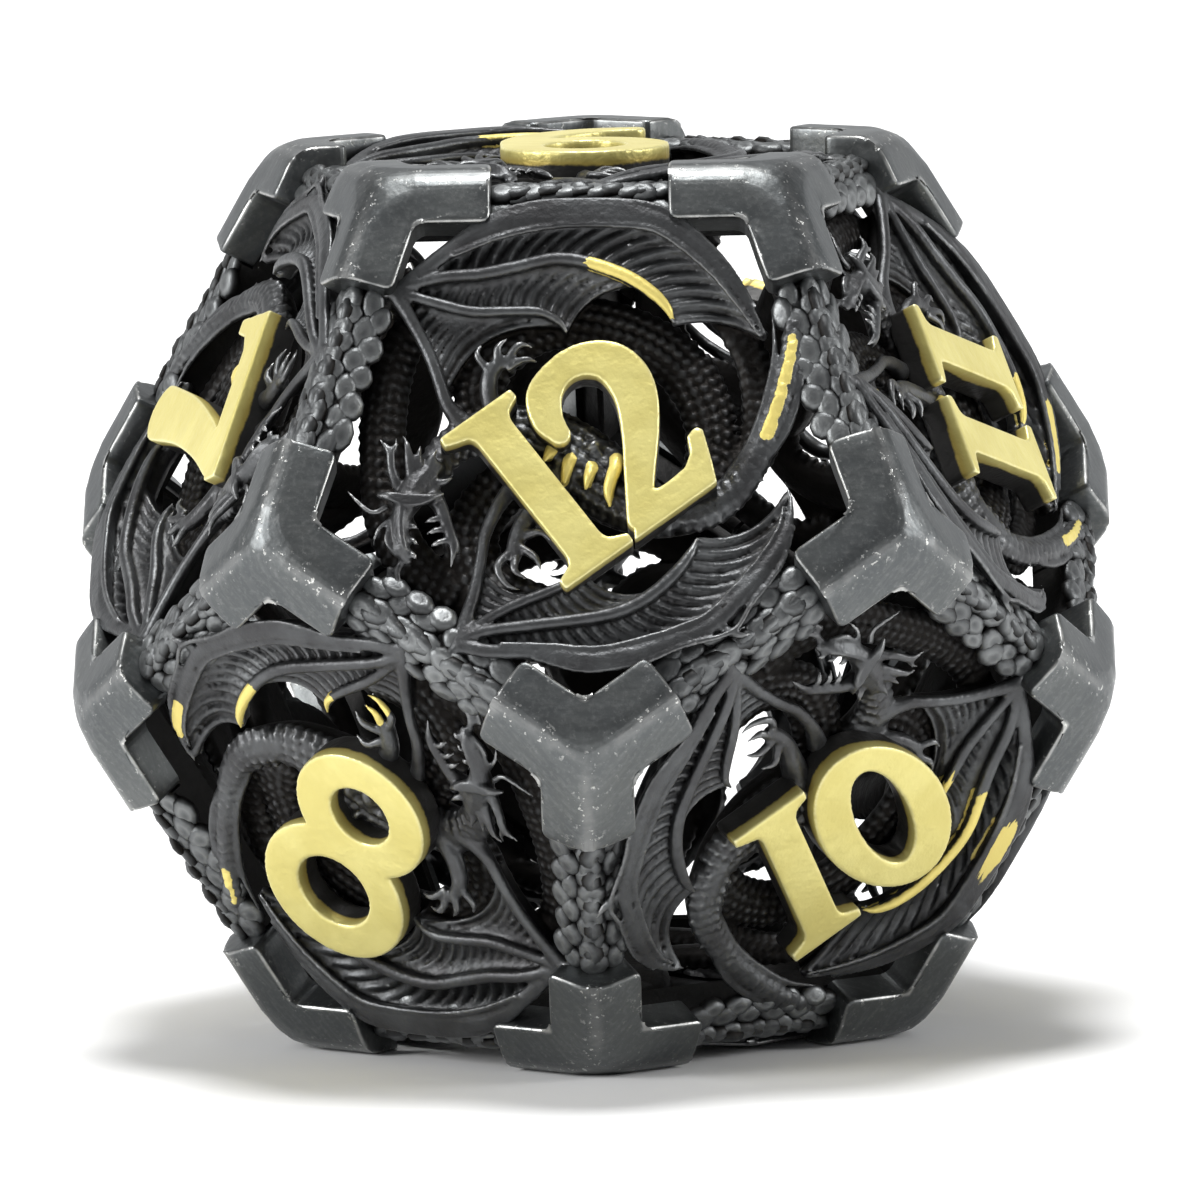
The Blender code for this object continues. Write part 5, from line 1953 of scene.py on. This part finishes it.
@dataclass
class Studio:
    """Pale floor, soft boxes and the camera."""

    body: DieBody
    azimuth: float = 1.327
    elevation: float = 7.220
    roll: float = -1.289
    distance: float = 303.16
    lens: float = 368.0
    aim: tuple[float, float, float] = (0.120, -0.044, -0.370)
    sky: float = 0.25
    floor_reach: float = 3.0

    def camera(self) -> None:
        """Set the camera at its viewing angle."""
        a, e = math.radians(self.azimuth), math.radians(self.elevation)
        back = Vector((math.sin(a) * math.cos(e), -math.cos(a) * math.cos(e), math.sin(e)))
        data = bpy.data.cameras.new("camera")
        data.sensor_width = 36.0
        data.lens = self.lens
        data.clip_start, data.clip_end = 0.01, 20.0
        camera = bpy.data.objects.new("camera", data)
        bpy.context.scene.collection.objects.link(camera)
        tilt = Matrix.Rotation(math.radians(self.roll), 3, "Z").to_quaternion()
        turn = (-back).to_track_quat("-Z", "Y") @ tilt
        camera.rotation_mode = "QUATERNION"
        camera.rotation_quaternion = turn
        camera.location = (self.body.centre + Vector(self.aim) + back * self.distance) * MM
        bpy.context.scene.camera = camera

    def soft_box(self, name: str, place: Vector, size: Point, power: float) -> None:
        """Hang a soft light that looks at the die."""
        data = bpy.data.lights.new(name, "AREA")
        data.shape = "RECTANGLE"
        data.size, data.size_y = size
        data.energy = power
        light = bpy.data.objects.new(name, data)
        light.location = place
        light.rotation_mode = "QUATERNION"
        light.rotation_quaternion = (self.body.centre * MM - place).to_track_quat("-Z", "Y")
        bpy.context.scene.collection.objects.link(light)

    def world(self) -> None:
        """Dim the room round the die, while it looks pale behind it."""
        room = bpy.data.worlds.new("room")
        room.use_nodes = True
        room.node_tree.nodes.clear()
        nodes = Nodes(room.node_tree)
        seen = nodes.value("ShaderNodeLightPath", "Is Camera Ray")
        way = nodes.add("ShaderNodeTexCoord").outputs["Generated"]
        parts = nodes.add("ShaderNodeSeparateXYZ", None, {"Vector": way})
        ahead, high = (Value(nodes, parts.outputs[name]) for name in ("Y", "Z"))
        backdrop = ahead.step(0.15, 0.80) * (1.0 - high.step(0.20, 0.60))
        lit = self.sky + backdrop * (1.0 - self.sky)
        strength = lit + seen * (1.0 - lit)
        sockets = {"Color": (0.97, 0.985, 1.0, 1.0), "Strength": strength}
        light = nodes.add("ShaderNodeBackground", None, sockets)
        nodes.add("ShaderNodeOutputWorld", None, {"Surface": light.outputs[0]})
        bpy.context.scene.world = room

    def floor(self) -> bpy.types.Object:
        """Lay a wide round floor under the die."""
        bm = bmesh.new()
        bmesh.ops.create_circle(bm, cap_ends=True, segments=96, radius=self.floor_reach)
        mesh = bpy.data.meshes.new("floor")
        bm.to_mesh(mesh)
        bm.free()
        mesh.transform(Matrix.Translation((0.0, 0.0, CAD_BOX[0].z - 0.02 * MM)))
        mesh.materials.append(PAPER.material())
        floor = bpy.data.objects.new("floor", mesh)
        bpy.context.scene.collection.objects.link(floor)
        floor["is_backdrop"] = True
        return floor

    def build(self) -> None:
        """Set up the whole studio."""
        self.camera()
        self.floor()
        self.world()
        self.soft_box("over", Vector((-0.03, 0.16, 0.40)), (0.26, 0.20), 0.5)
        self.soft_box("left", Vector((-0.37, -0.15, 0.16)), (0.15, 0.20), 1.35)
        self.soft_box("right", Vector((0.42, -0.04, 0.14)), (0.12, 0.20), 0.85)
        data = bpy.data.lights.new("ceiling", "SUN")
        data.angle = 0.3
        data.energy = 2.7
        ceiling = bpy.data.objects.new("ceiling", data)
        bpy.context.scene.collection.objects.link(ceiling)
        bpy.context.scene.view_settings.view_transform = "Standard"


FACES = (
    Face(12, Belt.UPPER, -90, (3, -126), Reading.TO_CORNER, (
        ("finger_a", 0.64, 0.97), ("tail", 0.42, 0.76), ("talon_1", 0.3, 1.0), ("talon_2", 0.3, 1.0),
        ("talon_3", 0.3, 1.0), ("talon_4", 0.2, 1.0),
    )),
    Face(11, Belt.UPPER, -18, (4, -54), gilding=(
        ("edge_a", 0.72, 0.88), ("tail", 0.60, 0.92), ("talon_2", 0.3, 1.0), ("finger_a", 0.80, 0.96),
    )),
    Face(5, Belt.UPPER, 54, (3, 90), gilding=(("finger_a", 0.66, 0.97), ("tail", 0.5, 0.7))),
    Face(3, Belt.UPPER, 126, (4, 90), gilding=(("finger_a", 0.78, 0.97), ("finger_b", 0.70, 0.95))),
    Face(7, Belt.UPPER, -162, (3, -126), gilding=(("talon_2", 0.3, 1.0), ("talon_4", 0.2, 1.0))),
    Face(10, Belt.LOWER, -54, (3, -54), gilding=(
        ("edge_a", 0.37, 0.47), ("finger_a", 0.38, 0.98), ("short_a", 0.66, 0.90),
    )),
    Face(6, Belt.LOWER, 18, (1, 54), gilding=(("finger_b", 0.66, 0.95), ("tail", 0.55, 0.75))),
    Face(1, Belt.LOWER, 90, (3, 90), gilding=(("finger_a", 0.66, 0.95),)),
    Face(2, Belt.LOWER, 162, (2, 126), gilding=(("finger_b", 0.70, 0.95), ("tail", 0.5, 0.68))),
    Face(8, Belt.LOWER, -126, (2, -90), gilding=(
        ("finger_b", 0.74, 0.98), ("short_b", 0.80, 0.98), ("edge_b", 0.80, 0.90), ("claw", 0.2, 0.8),
        ("paw", 0.5, 0.9),
        ("tail", 0.68, 0.80),
    )),
    Face(9, Belt.TOP, 0, (4, -126), gilding=(("tail", 0.16, 0.30), ("finger_a", 0.6, 0.9))),
    Face(4, Belt.BOTTOM, 0, (1, 54), gilding=(("finger_a", 0.6, 0.9),)),
)


def main() -> None:
    """Build the die's pieces in order, then the studio round them."""
    logging.basicConfig(level=logging.INFO, format="%(name)s %(message)s")
    body = DieBody.from_box(CAD_BOX)
    studio = Studio(body)
    studio.build()
    cage = ScaledFrame(body)
    for piece in cage.build():
        report(piece)
    for piece in CornerBrackets(body).build():
        report(piece)
    shape = cage.scale_shape()
    for piece in DragonPanels(body).build(FACES, shape):
        report(piece)
    bpy.data.objects.remove(shape, do_unlink=True)
    for piece in GoldDigits(body).build(FACES):
        report(piece)
    bpy.context.view_layer.update()
    boxes = {"cad": CAD_BOX, "visual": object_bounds()}
    {name: [list(side) for side in box] for name, box in boxes.items()}


if __name__ == "__main__":
    main()
